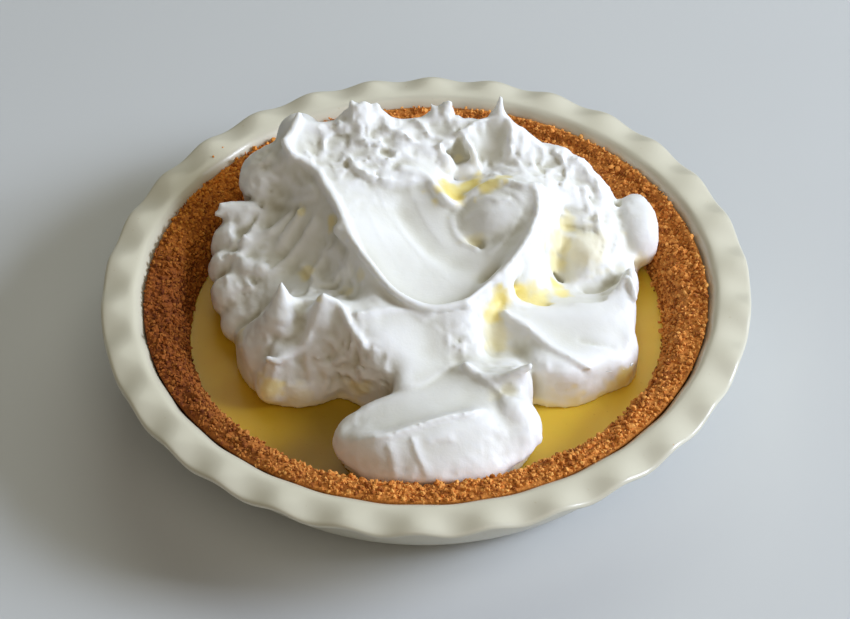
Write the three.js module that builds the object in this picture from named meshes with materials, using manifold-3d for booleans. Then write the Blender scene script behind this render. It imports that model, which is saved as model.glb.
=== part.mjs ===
// Lemon meringue pie in its fluted dish. Millimetres, +Z up, the origin at the middle of the flat base.
// The front of the pie is towards -Y.
import * as THREE from 'three';
import { MarchingCubes } from 'three/addons/objects/MarchingCubes.js';
import { mergeVertices } from 'three/addons/utils/BufferGeometryUtils.js';
import Module from 'manifold-3d';

// Driving dimensions
const gap = 0.3;                // between pieces that touch
const rimRadius = 136;
const rimHeight = 46;
const rimThickness = 3.4;
const flangeRadius = 121;       // where the flange meets the wall
const floorThickness = 5;
const footRadius = 102.5;
const fluteCount = 30;
const fluteHeight = 1.4;        // a crest above the mean rim
const fluteScallop = 1.0;       // the flange's inner edge goes in and out by this much
const fluteTurn = -92.4;        // degrees, where one crest is
const crustTop = 42.2;
const crustFloor = 11;          // top of the crust's floor
const crustCrag = 1.4;          // from the deepest to the highest crumb
const fillingTop = 22;
const fillingRadius = 99.6;
const fillingRipple = 0.35;
const heapSlope = 0.3;          // the crust's inner face leans out by this much per millimetre
const heapCell = 4.6;           // grid step of the meringue
const heapRounding = 7;         // shoulder between the heap's top and its sides

const degrees = Math.PI / 180;

// The photograph's camera: it looks towards +Y and down, and places what is read off the photograph
const photo = {
  size: [850, 619],
  focal: 2698,                  // in the photograph's pixels
  target: [-0.43, 6.76, 25],
  distance: 1150,
  elevation: 44.803,
  roll: -1.504,
};

// Footprints of the meringue's spoonfuls on the filling: centre, radii and turn in degrees
const footprints = {
  heap: { at: [1, 26], radii: [90, 67], turn: 0 },
  lowerLeft: { at: [-50, -8], radii: [30, 38], turn: -12 },
  middle: { at: [5, -20], radii: [52, 34], turn: 0 },
  neck: { at: [14, -56], radii: [28, 22], turn: 0 },
  tongue: { at: [0, -82], radii: [39, 22], turn: -2 },
  tongueRight: { at: [20, -76], radii: [25, 19], turn: 0 },
  rightFront: { at: [60, -12], radii: [27, 39], turn: -14 },
  rightCorner: { at: [75, -29], radii: [12, 12], turn: 0 },
  right: { at: [70, 22], radii: [16, 24], turn: 0 },
};

// Ridges and hollows left by the spoon. The skin of the heap is stretched between them,
// and a lip makes the ridge a rounded bead of that radius. Each point is read off the photograph:
// across and down in its frame, then the height in millimetres.
const spoonLines = {
  mainCrest: {
    lip: 2,
    points: [
      [285, 143, 80], [293, 155, 78], [313, 167, 75], [335, 201, 73], [352, 238, 70], [372, 266, 68],
      [396, 293, 65], [430, 308, 61], [466, 303, 61],
    ],
  },
  mainWall: {
    lip: 2.6,
    points: [[340, 230, 69], [354, 247, 66.5], [372, 273, 63.5], [396, 300, 60], [428, 314, 57.5]],
  },
  frontCrest: { lip: 1.8, points: [[466, 303, 61], [488, 284, 62], [512, 262, 64], [531, 234, 66]] },
  rightCrest: { lip: 1.4, points: [[531, 234, 66], [538, 212, 68], [539, 196, 70], [533, 186, 71]] },
  sideCrest: { points: [[347, 152, 74.5], [347, 180, 73], [349, 212, 71.5]] },
  scoopFloor: { points: [[400, 215, 61], [430, 250, 56], [462, 268, 55]] },
  curlCrest: {
    lip: 1.8,
    points: [
      [457, 206, 62], [472, 194, 66], [489, 184, 69], [506, 181, 71], [521, 184, 72], [533, 186, 71],
    ],
  },
  curlFace: { points: [[480, 205, 65], [500, 203, 68], [516, 213, 67]] },
  curlEdge: {
    lip: 1,
    points: [[457, 206, 62], [452, 219, 60], [455, 232, 58], [464, 243, 57], [477, 249, 57]],
  },
  innerWall: { points: [[495, 246, 57], [510, 228, 61], [521, 212, 66]] },
  holeFloor: { points: [[446, 188, 50], [458, 193, 48], [478, 186, 50], [500, 179, 55]] },
  holeCrest: {
    lip: 1.6,
    points: [[404, 170, 72], [427, 177, 70], [437, 190, 68], [448, 201, 66], [457, 206, 63]],
  },
  upperLobe: { points: [[281, 128, 79], [284, 119, 83], [297, 114, 84], [312, 118, 83], [328, 123, 81]] },
  upperLobeCrest: { lip: 1.4, points: [[299, 115, 84], [294, 128, 82], [285, 142, 80]] },
  facet: { points: [[302, 143, 77], [316, 148, 76], [326, 138, 77]] },
  rearLeft: {
    points: [
      [330, 122, 80], [345, 112, 83], [361, 105, 84], [375, 107, 84], [382, 119, 81], [404, 123, 79],
    ],
  },
  rearMiddle: {
    points: [
      [410, 118, 80], [428, 112, 81], [444, 106, 82], [455, 114, 80], [478, 117, 79], [497, 114, 79],
      [513, 120, 77], [534, 133, 73],
    ],
  },
  rearRight: { points: [[556, 138, 70], [581, 154, 66], [604, 180, 60], [612, 194, 54]] },
  roughTop: { points: [[335, 138, 77], [360, 134, 79], [395, 144, 75]] },
  roughLow: { points: [[356, 165, 72], [375, 172, 71], [400, 176, 70]] },
  leftLobe: { points: [[241, 172, 60], [252, 155, 67], [266, 146, 73], [281, 143, 76]] },
  leftLobeFace: { points: [[262, 185, 60], [285, 180, 66], [305, 190, 67]] },
  leftLobeFoot: { points: [[242, 203, 47], [262, 205, 50], [290, 208, 55]] },
  foldCrest: {
    lip: 1.2,
    points: [[441, 151, 71], [452, 141, 74], [463, 133, 77], [469, 143, 74], [475, 156, 70]],
  },
  foldFace: { points: [[456, 154, 66], [467, 158, 64]] },
  foldLeft: { points: [[430, 140, 74], [436, 158, 70], [444, 172, 62]] },
  greyFacetTop: {
    lip: 1.2,
    points: [
      [463, 131, 77], [480, 121, 79], [500, 117, 79], [509, 121, 78], [511, 136, 74], [512, 148, 71],
    ],
  },
  greyFacet: { points: [[478, 136, 72], [492, 134, 72], [500, 144, 70]] },
  greyFacetFoot: { points: [[478, 152, 69], [492, 153, 69], [506, 151, 69]] },
  rearFoot: { points: [[485, 166, 63], [500, 168, 64], [515, 165, 66]] },
  rightSlope: { points: [[548, 165, 66], [575, 183, 60], [598, 200, 53]] },
  rightBand: { points: [[548, 195, 66], [552, 220, 61], [545, 250, 55], [543, 272, 49], [560, 297, 42]] },
  creamValley: { points: [[564, 222, 51], [557, 250, 46], [553, 272, 40], [562, 290, 36]] },
  creamTop: { points: [[568, 206, 56], [590, 213, 54], [610, 222, 50]] },
  creamFace: { points: [[580, 240, 53], [598, 258, 50], [606, 280, 42]] },
  creamFoot: { points: [[572, 286, 42], [590, 296, 38], [612, 294, 33]] },
  cleft: { points: [[492, 318, 43], [500, 305, 43], [520, 300, 44], [542, 303, 43]] },
  rightTop: {
    lip: 1,
    points: [
      [505, 313, 53], [528, 330, 50], [548, 347, 47], [575, 362, 44], [600, 371, 41], [622, 370, 39],
      [636, 361, 38],
    ],
  },
  rightBack: { points: [[520, 312, 51], [560, 308, 50], [600, 312, 48], [626, 300, 46]] },
  rightFlat: { points: [[570, 338, 45], [605, 343, 43]] },
  rightSide: { points: [[634, 318, 42], [630, 340, 40], [634, 362, 35]] },
  creamFacet: { points: [[492, 325, 48], [490, 345, 42], [492, 365, 36]] },
  creamFacetEdge: { points: [[516, 345, 43], [522, 365, 35]] },
  plateauTop: { lip: 0.7, points: [[358, 314, 60], [381, 311, 60], [408, 312, 59], [425, 321, 58]] },
  plateauEdge: { points: [[425, 321, 58], [440, 332, 56], [455, 342, 54], [470, 345, 53], [480, 351, 51]] },
  apron: { points: [[446, 318, 59], [460, 326, 57.5], [472, 335, 55.5]] },
  plateau: { points: [[378, 335, 55], [405, 345, 52], [430, 355, 49]] },
  plateauFoot: { points: [[370, 362, 49], [400, 380, 48], [433, 378, 48], [460, 362, 49]] },
  column: { points: [[470, 318, 57], [481, 340, 52], [486, 354, 47]] },
  leftValley: { points: [[283, 268, 46], [310, 270, 49], [335, 290, 50], [352, 303, 53]] },
  leftFace: { points: [[316, 235, 60], [338, 262, 56]] },
  peakOne: { points: [[281, 285, 67], [276, 297, 61], [267, 314, 56], [259, 335, 49]] },
  bowl: { points: [[290, 309, 56], [302, 313, 55]] },
  saddle: { lip: 0.9, points: [[287, 298, 60], [299, 302, 58], [312, 301, 60]] },
  peakLip: { lip: 1.1, points: [[268, 358, 46], [276, 361, 45], [286, 356, 46], [300, 350, 47]] },
  peakTwo: {
    lip: 1.2,
    points: [[323, 298, 66], [335, 301, 64], [343, 311, 61], [349, 325, 56], [361, 343, 50]],
  },
  peakTwoSide: { lip: 1, points: [[321, 300, 65], [312, 316, 59], [310, 332, 54], [301, 348, 48]] },
  peakFace: { points: [[326, 325, 56], [328, 343, 50]] },
  peakFoot: { points: [[285, 382, 34], [315, 388, 33], [345, 382, 36]] },
  lowerFold: { points: [[262, 375, 34], [258, 360, 40], [256, 345, 45]] },
  dollopTop: { lip: 1, points: [[226, 211, 54], [240, 210, 55], [256, 210, 56]] },
  dollopRidge: { lip: 1, points: [[296, 212, 58], [276, 228, 55], [256, 244, 50], [240, 255, 48]] },
  dollopValley: { points: [[262, 214, 52], [250, 228, 50], [236, 240, 49]] },
  dollopEdge: { points: [[222, 230, 48], [215, 250, 43], [218, 280, 37]] },
  dollopLow: { lip: 1, points: [[228, 266, 44], [246, 264, 47], [263, 268, 50]] },
  dollopLowFace: { points: [[240, 290, 43], [256, 300, 42]] },
  dollopLowFoot: { points: [[228, 322, 33], [246, 330, 33], [260, 318, 38]] },
  tongueTop: {
    points: [
      [343, 438, 48], [360, 441, 51], [380, 440, 53], [403, 434, 54], [440, 424, 55], [486, 412, 54],
    ],
  },
  tongueBack: { points: [[348, 408, 45], [367, 398, 47], [395, 396, 48]] },
  tongueFlat: { points: [[410, 408, 50], [450, 400, 50], [478, 398, 49]] },
  lip: {
    lip: 1.2,
    points: [[466, 366, 51], [480, 377, 51], [500, 378, 53], [517, 372, 56], [530, 367, 58]],
  },
  lipSide: { points: [[535, 377, 54], [537, 388, 49], [536, 400, 44], [532, 412, 38]] },
  lipInside: { points: [[521, 379, 54], [527, 386, 51], [527, 396, 48]] },
  hollow: { points: [[503, 395, 47.5], [513, 400, 46.5]] },
  lipFace: { points: [[500, 390, 48], [512, 387, 50]] },
  knob: { points: [[503, 407, 50], [515, 405, 51], [522, 416, 47]] },
  lobeTop: { points: [[622, 193, 46], [642, 199, 47], [654, 220, 44], [657, 243, 38]] },
  lobeCrease: { points: [[621, 217, 41], [641, 206, 45]] },
  lobeFace: { points: [[640, 245, 38], [628, 262, 30]] },
  smallPeak: {
    lip: 1,
    points: [[608, 300, 46], [618, 288, 48], [626, 277, 51], [632, 284, 50], [635, 298, 46]],
  },
};

// Lines that the photograph does not show, in millimetres
const hiddenLines = {
  rearSlopeLeft: { points: [[-84, 50, 38], [-68, 70, 40], [-44, 84, 42], [-16, 91, 42]] },
  rearSlopeRight: { points: [[12, 92, 42], [40, 86, 42], [64, 72, 42], [84, 52, 38]] },
  tongueFront: {
    points: [[-36, -92, 38], [-24, -99, 41], [-8, -103, 42], [8, -103, 42], [24, -99, 41], [37, -90, 38]],
  },
};

// Round lobes that bulge past the stretched skin: a point read like those, and radii
const lobes = {
  rearLeftLow: { at: [275, 183, 57], radii: [15, 15, 15], soften: 5 },
  rearLeftHigh: { at: [300, 140, 67], radii: [10, 9, 13], soften: 5 },
  right: { at: [637, 230, 37], radii: [12, 17, 14], soften: 3 },
  smallPeak: { at: [630, 286, 40], radii: [3.5, 5, 9], soften: 2 },
  cream: { at: [588, 246, 40], radii: [15, 18, 13], soften: 4 },
  leftEdge: { at: [229, 246, 42], radii: [7.5, 7, 10], soften: 2.5 },
  leftEdgeLow: { at: [225, 270, 38], radii: [7, 6, 9], soften: 2.5 },
  leftLow: { at: [236, 296, 35], radii: [11, 9, 11], soften: 2.5 },
  leftFoot: { at: [240, 324, 29], radii: [8, 8, 8], soften: 3 },
  frontLeftFoot: { at: [272, 386, 29], radii: [7, 7, 8], soften: 3 },
  frontFoot: { at: [308, 388, 28], radii: [12, 5, 7], soften: 3 },
  roughFoot: { at: [366, 366, 36], radii: [11, 7, 11], soften: 3 },
  curl: { at: [503, 219, 58], radii: [15, 14, 10], soften: 3 },
  foldLump: { at: [470, 174, 60], radii: [8, 5, 6], soften: 2 },
  foldLumpLeft: { at: [446, 168, 64], radii: [4, 4, 6], soften: 2 },
  knob: { at: [512, 412, 46], radii: [7, 6, 6], soften: 2 },
};

// Lobes at the back, in millimetres
const hiddenLobes = {
  rearLeftFoot: { at: [-38, 76, 42], radii: [19, 13, 24], soften: 5 },
  rearMiddleFoot: { at: [10, 82, 38], radii: [22, 9, 22], soften: 5 },
  rearRightFoot: { at: [52, 69, 38], radii: [18, 13, 22], soften: 5 },
};

// Drawn-out tips: centre line with a radius at each point
const tips = {
  tallPeak: { soften: 2, points: [[497, 122, 74, 4.5], [499, 111, 81, 2], [501, 97, 88, 0.6]] },
  spikeLeft: { soften: 2, points: [[356, 122, 78, 6], [357, 110, 83, 3], [353, 104, 86, 1]] },
  spikeMiddle: { soften: 2, points: [[366, 124, 78, 6], [364, 110, 84, 3], [362, 103, 86, 1]] },
  spikeRight: { soften: 2, points: [[374, 124, 77, 4], [375, 112, 82, 2], [376, 104, 85, 0.8]] },
  middleKnob: { soften: 2, points: [[446, 120, 76, 4], [446, 110, 81, 2.6], [449, 104, 84, 1.2]] },
  middleSpike: { soften: 1.5, points: [[437, 120, 77, 3], [435, 111, 81, 1.4], [432, 105, 83, 0.6]] },
  peakOne: { soften: 3, points: [[284, 320, 52, 8], [283, 303, 60, 4.2], [281, 283, 69, 0.7]] },
  peakTwo: { soften: 3, points: [[325, 322, 53, 8], [324, 308, 61, 4], [323, 295, 68, 0.7]] },
  leftWisp: { soften: 3, points: [[246, 212, 53, 4], [232, 207, 55, 2.2], [221, 205, 57, 0.6]] },
  lowWisp: { soften: 3, points: [[240, 219, 52, 3.5], [228, 213, 53, 1.8], [217, 214, 54, 0.6]] },
  tongueTip: { soften: 2, points: [[526, 430, 41, 3.4], [538, 439, 38, 1.6]] },
  dollopTip: { soften: 2, points: [[250, 268, 47, 3.5], [262, 269, 50, 0.8]] },
};

// Clefts between spoonfuls, with a radius at each point
const clefts = {
  leftNotch: { soften: 3, points: [[266, 132, 84, 6], [279, 140, 79, 3]] },
  rightLobe: {
    soften: 2,
    points: [[615, 190, 52, 4], [618, 215, 44, 3], [620, 240, 38, 3], [618, 268, 30, 4]],
  },
  leftDollop: { soften: 2.5, points: [[228, 196, 52, 5], [252, 204, 52, 2.6]] },
  rearNotch: { soften: 3, points: [[394, 114, 86, 5], [396, 124, 81, 3]] },
  behindCurl: {
    soften: 1.5,
    points: [
      [438, 185, 62, 3], [450, 196, 56, 5], [466, 190, 54, 5.5], [484, 183, 57, 4], [503, 178, 62, 3],
    ],
  },
  front: {
    soften: 1.5,
    points: [
      [488, 322, 44, 2.5], [494, 309, 46, 3.5], [506, 300, 47, 4.5], [524, 297, 47, 4.5], [545, 303, 46, 3],
    ],
  },
  rightGap: { soften: 2, points: [[668, 282, 30, 9], [650, 280, 30, 8], [634, 272, 34, 4]] },
  besideCream: { soften: 1.5, points: [[550, 273, 42, 1.5], [556, 283, 39, 2.6], [563, 293, 36, 2]] },
  underLeftDollop: { soften: 2, points: [[220, 340, 36, 5], [250, 346, 39, 3]] },
  underTongueLeft: { soften: 4, points: [[330, 450, 30, 8], [344, 471, 28, 7.5], [362, 488, 27, 6]] },
  underTongueRight: { soften: 4, points: [[552, 452, 26, 9], [538, 470, 26, 9], [514, 484, 26, 8]] },
  curlDimple: { soften: 1.5, points: [[470, 241, 59, 3.2], [478, 244, 58, 2.8]] },
};

// The one large spoon scoop and the bowl between the two front peaks
const scoops = {
  large: { at: [436, 232, 77], radii: [36, 40, 18], lean: 14, soften: 3 },
  bowl: { at: [300, 309, 68], radii: [6, 9, 13], lean: 0, soften: 1.5 },
};

function clamp(value, low, high) {
  return Math.min(Math.max(value, low), high);
}

function smoothStep(value, low, high) {
  const t = clamp((value - low) / (high - low), 0, 1);
  return t * t * (3 - 2 * t);
}

// The lesser of two distances, with the corner between them filled by a fillet
function join(a, b, soften) {
  const t = clamp(0.5 + (0.5 * (b - a)) / soften, 0, 1);
  return b + (a - b) * t - soften * t * (1 - t);
}

function carve(a, b, soften) {
  return -join(-a, b, soften);
}

// The place in millimetres of a point of the photograph whose height is known
function placed([across, down, height]) {
  const rise = photo.elevation * degrees;
  const roll = photo.roll * degrees;
  const u = (across - photo.size[0] / 2) / photo.focal;
  const v = (down - photo.size[1] / 2) / photo.focal;
  const right = u * Math.cos(roll) + v * Math.sin(roll);
  const below = v * Math.cos(roll) - u * Math.sin(roll);
  const eyeY = photo.target[1] - photo.distance * Math.cos(rise);
  const eyeZ = photo.target[2] + photo.distance * Math.sin(rise);
  const wayY = Math.cos(rise) - below * Math.sin(rise);
  const wayZ = -Math.sin(rise) - below * Math.cos(rise);
  const far = (height - eyeZ) / wayZ;
  return [photo.target[0] + right * far, eyeY + wayY * far, height];
}

// The same for each point of a path, with any radius after the height kept
function placedPath(shape) {
  return { ...shape, points: shape.points.map((p) => [...placed(p), ...p.slice(3)]) };
}

function placedLobe(lobe) {
  return { ...lobe, at: placed(lobe.at) };
}

const ridges = [...Object.values(spoonLines).map(placedPath), ...Object.values(hiddenLines)];

// Seeded draws, the same each time the pie is made
function randomFrom(seed) {
  let state = seed;
  return () => {
    state = (state * 1664525 + 1013904223) % 4294967296;
    return state / 4294967296;
  };
}

function mergedBody(geometry) {
  geometry.deleteAttribute('normal');
  geometry.deleteAttribute('uv');
  const body = mergeVertices(geometry, 1e-3);
  const kept = [];
  for (let i = 0; i < body.index.count; i += 3) {
    const [a, b, c] = [0, 1, 2].map((k) => body.index.getX(i + k));
    if (a !== b && b !== c && c !== a) kept.push(a, b, c);
  }
  body.setIndex(kept);
  return body;
}

// A profile of radii and heights turned about Z; shape(r, z, angle) gives each vertex its place
function lathed(profile, segments, shape) {
  const points = profile.map(([r, z]) => new THREE.Vector2(r, z));
  const body = mergedBody(new THREE.LatheGeometry(points, segments).rotateX(Math.PI / 2));
  const place = body.attributes.position;
  for (let i = 0; i < place.count; i += 1) {
    const angle = Math.atan2(place.getY(i), place.getX(i));
    const [r, z] = shape(Math.hypot(place.getX(i), place.getY(i)), place.getZ(i), angle);
    place.setXYZ(i, r * Math.cos(angle), r * Math.sin(angle), z);
  }
  return body;
}

function dishGeometry() {
  const wallTop = 42;
  const profile = [
    [0, 0],
    [footRadius, 0],
    [111, 9],
    [118, 23],
    [flangeRadius + 1, rimHeight - 6],
    [rimRadius - 1.2, rimHeight - rimThickness],
    [rimRadius, rimHeight - rimThickness / 2],
    [rimRadius - 1, rimHeight],
    [flangeRadius, rimHeight - 1.2],
    [118, wallTop],
    [113.5, 25],
    [103, floorThickness + 2.5],
    [97, floorThickness],
    [0, floorThickness],
  ];
  const samplesPerFlute = 4;
  return lathed(profile, fluteCount * samplesPerFlute, (r, z, angle) => {
    const wave = Math.cos(fluteCount * (angle - fluteTurn * degrees));
    const lift = fluteHeight * smoothStep(r, flangeRadius - 3, flangeRadius + 6);
    const inside = z > wallTop - 1 && r < flangeRadius + 0.5 ? 1 : 0;
    return [r - inside * fluteScallop * wave * smoothStep(z, 38, 44), z + lift * wave];
  });
}

function crustGeometry() {
  const draw = randomFrom(7);
  const outerTop = 40.5;
  const profile = [
    [0, floorThickness + gap],
    [96.8, floorThickness + gap],
    [102.5, 8],
    [113, 25.5],
    [115.8, 36],
    [116.2, outerTop],
    [113.2, crustTop],
    [109.4, crustTop],
    [106, 40],
    [103.2, 33],
    [fillingRadius + 1.2, fillingTop + 1],
    [96.8, crustFloor + 2],
    [92, crustFloor],
    [0, crustFloor],
  ];
  return lathed(profile, 108, (r, z, angle) => {
    if (z < fillingTop || (r > 112 && z < outerTop)) return [r, z];
    const slow = 0.45 * Math.sin(5 * angle + 1);
    const swell = slow + 0.3 * Math.sin(11 * angle + 2) + 0.25 * Math.sin(17 * angle);
    const outward = r > 115 ? 0 : crustCrag * (draw() - 0.3) - 0.4 * swell;
    const upward = z < fillingTop + 2 ? 0 : crustCrag * (draw() - 0.5) + swell;
    return [r + clamp(outward, -0.4, 1.2), z + upward];
  });
}

function fillingGeometry() {
  const profile = [
    [0, crustFloor + gap],
    [91.6, crustFloor + gap],
    [96.2, crustFloor + 2.2],
    [fillingRadius, fillingTop - 0.6],
    [fillingRadius - 1.5, fillingTop],
    [64, fillingTop],
    [0, fillingTop],
  ];
  return lathed(profile, 72, (r, z, angle) => {
    const wave = z < fillingTop ? 0 : 0.5 + 0.5 * Math.sin(7 * angle + r / 9);
    return [r, z - fillingRipple * wave * smoothStep(r, 0, 60)];
  });
}

// Distance-like value of an ellipsoid that may lean back about X
function ellipsoidValue(point, { at, radii, lean = 0 }) {
  const c = Math.cos(lean * degrees);
  const s = Math.sin(lean * degrees);
  const y = point[1] - at[1];
  const z = point[2] - at[2];
  const local = [point[0] - at[0], c * y + s * z, c * z - s * y];
  const near = Math.hypot(...local.map((value, k) => value / radii[k])) + 1e-6;
  const steep = Math.hypot(...local.map((value, k) => value / radii[k] ** 2)) + 1e-6;
  return (near * (near - 1)) / steep;
}

// Distance to a chain of round cones along a smooth curve through the points
function chainOf({ points, soften }, radiusOf) {
  const curve = new THREE.CatmullRomCurve3(points.map((p) => new THREE.Vector3(p[0], p[1], p[2])));
  const pieces = 4 * (points.length - 1);
  const beads = [];
  for (let i = 0; i <= pieces; i += 1) {
    const t = (i / pieces) * (points.length - 1);
    const k = Math.min(Math.floor(t), points.length - 2);
    const radius = radiusOf(points[k]) + (radiusOf(points[k + 1]) - radiusOf(points[k])) * (t - k);
    beads.push({ at: curve.getPoint(i / pieces), radius });
  }
  return { beads, soften };
}

function chainValue(point, { beads }) {
  let nearest = Infinity;
  for (let i = 0; i + 1 < beads.length; i += 1) {
    const a = beads[i].at;
    const b = beads[i + 1].at;
    const along = [b.x - a.x, b.y - a.y, b.z - a.z];
    const offset = [point[0] - a.x, point[1] - a.y, point[2] - a.z];
    const dot = along[0] * offset[0] + along[1] * offset[1] + along[2] * offset[2];
    const t = clamp(dot / (along[0] ** 2 + along[1] ** 2 + along[2] ** 2), 0, 1);
    const away = Math.hypot(offset[0] - t * along[0], offset[1] - t * along[1], offset[2] - t * along[2]);
    nearest = Math.min(nearest, away - beads[i].radius - (beads[i + 1].radius - beads[i].radius) * t);
  }
  return nearest;
}

// Heights of a skin stretched over the ridges, on a square grid over the pie
function stretchedSkin() {
  const reach = 112;
  const step = 2;
  const count = (2 * reach) / step + 1;
  const heights = new Float64Array(count * count).fill(30);
  const pinned = new Float64Array(count * count);
  const crest = new Set();
  const cellOf = (value) => Math.round((value + reach) / step);
  for (const { points, lip } of ridges) {
    const curve = new THREE.CatmullRomCurve3(points.map((p) => new THREE.Vector3(...p)));
    const samples = Math.ceil(curve.getLength());
    for (let i = 0; i <= samples; i += 1) {
      const p = curve.getPoint(i / samples);
      const cell = cellOf(p.x) * count + cellOf(p.y);
      pinned[cell] += 1;
      heights[cell] += (p.z - heights[cell]) / pinned[cell];
      if (lip) crest.add(cell);
    }
  }
  const overRelax = 1.9;
  const sweepsInAll = 500;
  const softenSweeps = 5;       // the last ones also ease every line that isn't a crest
  for (let sweep = 0; sweep < sweepsInAll; sweep += 1) {
    const easing = sweep >= sweepsInAll - softenSweeps;
    for (let i = 0; i < count; i += 1) {
      for (let j = 0; j < count; j += 1) {
        const cell = i * count + j;
        if (easing ? crest.has(cell) : pinned[cell]) continue;
        const left = Math.max(i - 1, 0) * count + j;
        const right = Math.min(i + 1, count - 1) * count + j;
        const front = i * count + Math.max(j - 1, 0);
        const back = i * count + Math.min(j + 1, count - 1);
        const mean = (heights[left] + heights[right] + heights[front] + heights[back]) / 4;
        heights[cell] += (easing ? 1 : overRelax) * (mean - heights[cell]);
      }
    }
  }
  return (x, y) => {
    const u = clamp((x + reach) / step, 0, count - 1.001);
    const v = clamp((y + reach) / step, 0, count - 1.001);
    const i = Math.floor(u);
    const j = Math.floor(v);
    const at = (a, b) => heights[a * count + b];
    const front = at(i, j) + (at(i + 1, j) - at(i, j)) * (u - i);
    const back = at(i, j + 1) + (at(i + 1, j + 1) - at(i, j + 1)) * (u - i);
    return front + (back - front) * (v - j);
  };
}

function footprintValue(x, y) {
  let value = Infinity;
  for (const print of Object.values(footprints)) {
    const c = Math.cos(print.turn * degrees);
    const s = Math.sin(print.turn * degrees);
    const dx = x - print.at[0];
    const dy = y - print.at[1];
    const u = (c * dx + s * dy) / print.radii[0];
    const v = (c * dy - s * dx) / print.radii[1];
    const near = Math.hypot(u, v) + 1e-6;
    const steep = Math.hypot(u / print.radii[0], v / print.radii[1]) + 1e-6;
    const distance = (near * (near - 1)) / steep;
    value = value === Infinity ? distance : join(value, distance, 5);
  }
  return value;
}

// The meringue as one value: negative inside, positive outside, zero on its surface
function heapField() {
  const skin = stretchedSkin();
  const leastLip = 2.4;         // a thinner bead would break up on the grid
  const beads = ridges.filter((line) => line.lip)
    .map((line) => chainOf({ ...line, soften: 2.5 }, () => Math.max(line.lip, leastLip)));
  const drawn = Object.values(tips).map((tip) => chainOf(placedPath(tip), (p) => p[3]));
  const cut = Object.values(clefts).map((cleft) => chainOf(placedPath(cleft), (p) => p[3]));
  const bulges = [...Object.values(lobes).map(placedLobe), ...Object.values(hiddenLobes)];
  const spooned = Object.values(scoops).map(placedLobe);
  return (x, y, z) => {
    const point = [x, y, z];
    const height = skin(x, y);
    const slopeX = (skin(x + 2, y) - skin(x - 2, y)) / 4;
    const slopeY = (skin(x, y + 2) - skin(x, y - 2)) / 4;
    const below = (z - height) * Math.max(1 / Math.hypot(1, slopeX, slopeY), 0.35);
    let value = carve(below, -footprintValue(x, y), heapRounding);
    for (const lobe of bulges) value = join(value, ellipsoidValue(point, lobe), lobe.soften);
    for (const cleft of cut) value = carve(value, chainValue(point, cleft), cleft.soften);
    for (const scoop of spooned) value = carve(value, ellipsoidValue(point, scoop), scoop.soften);
    for (const bead of beads) value = join(value, chainValue(point, bead), bead.soften);
    for (const tip of drawn) value = join(value, chainValue(point, tip), tip.soften);
    const insideCrust = fillingRadius - 1.4 + (z - fillingTop) * heapSlope - Math.hypot(x, y);
    return carve(value, insideCrust, 1.5);
  };
}

function heapGeometry() {
  const size = 52;
  const half = size / 2;
  const middle = 56;
  const lowest = 14;
  const highest = 96;
  const least = 0.1 * heapCell;   // keeps crossings off the grid's corners
  const cubes = new MarchingCubes(size, new THREE.MeshBasicMaterial(), false, false, 30000);
  const field = heapField();
  cubes.isolation = 0;
  cubes.field.fill(-heapCell);
  for (let k = 0; k < size; k += 1) {
    const z = middle + (k - half) * heapCell;
    for (let j = 0; j < size; j += 1) {
      for (let i = 0; i < size; i += 1) {
        const x = (i - half) * heapCell;
        const y = (j - half) * heapCell;
        if (z < lowest || z > highest || Math.hypot(x, y) > rimRadius - 20) continue;
        const value = clamp(-field(x, y, z), -heapCell, heapCell);
        const cell = (k * size + j) * size + i;
        cubes.field[cell] = value < 0 ? Math.min(value, -least) : Math.max(value, least);
      }
    }
  }
  cubes.update();
  const corners = cubes.geometry.attributes.position.array.slice(0, cubes.geometry.drawRange.count * 3);
  const heap = new THREE.BufferGeometry();
  heap.setAttribute('position', new THREE.Float32BufferAttribute(corners, 3));
  heap.scale(half * heapCell, half * heapCell, half * heapCell);
  heap.translate(0, 0, middle);
  return heap;
}

function solidOf(wasm, geometry) {
  const body = mergedBody(geometry);
  return new wasm.Manifold(new wasm.Mesh({
    numProp: 3,
    vertProperties: new Float32Array(body.attributes.position.array),
    triVerts: new Uint32Array(body.index.array),
  }));
}

// The heap is cut flat where it lies on the filling, and only its one large body is kept
function meringueGeometry(wasm) {
  const depth = 30;
  const below = new THREE.BoxGeometry(3 * rimRadius, 3 * rimRadius, depth);
  below.translate(0, 0, fillingTop + gap - depth / 2);
  const bodies = solidOf(wasm, heapGeometry()).subtract(solidOf(wasm, below)).decompose();
  const cutMesh = bodies.sort((a, b) => b.volume() - a.volume())[0].getMesh();
  const geometry = new THREE.BufferGeometry();
  geometry.setAttribute('position', new THREE.Float32BufferAttribute(cutMesh.vertProperties, 3));
  geometry.setIndex([...cutMesh.triVerts]);
  return geometry;
}

function named(name, geometry, color, roughness) {
  const mesh = new THREE.Mesh(geometry, new THREE.MeshStandardMaterial({ color, roughness, metalness: 0 }));
  mesh.name = name;
  return mesh;
}

const wasm = await Module();
wasm.setup();

const pie = new THREE.Group();
pie.add(named('dish', dishGeometry(), '#e6e1cf', 0.2));
pie.add(named('crust', crustGeometry(), '#b06a2c', 0.9));
pie.add(named('filling', fillingGeometry(), '#d9b84a', 0.4));
pie.add(named('meringue', meringueGeometry(wasm), '#f7f6f2', 0.6));

export default pie;
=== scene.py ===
import math

import bmesh
import bpy
import numpy as np
import openvdb
from mathutils import Matrix, Vector, noise


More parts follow.
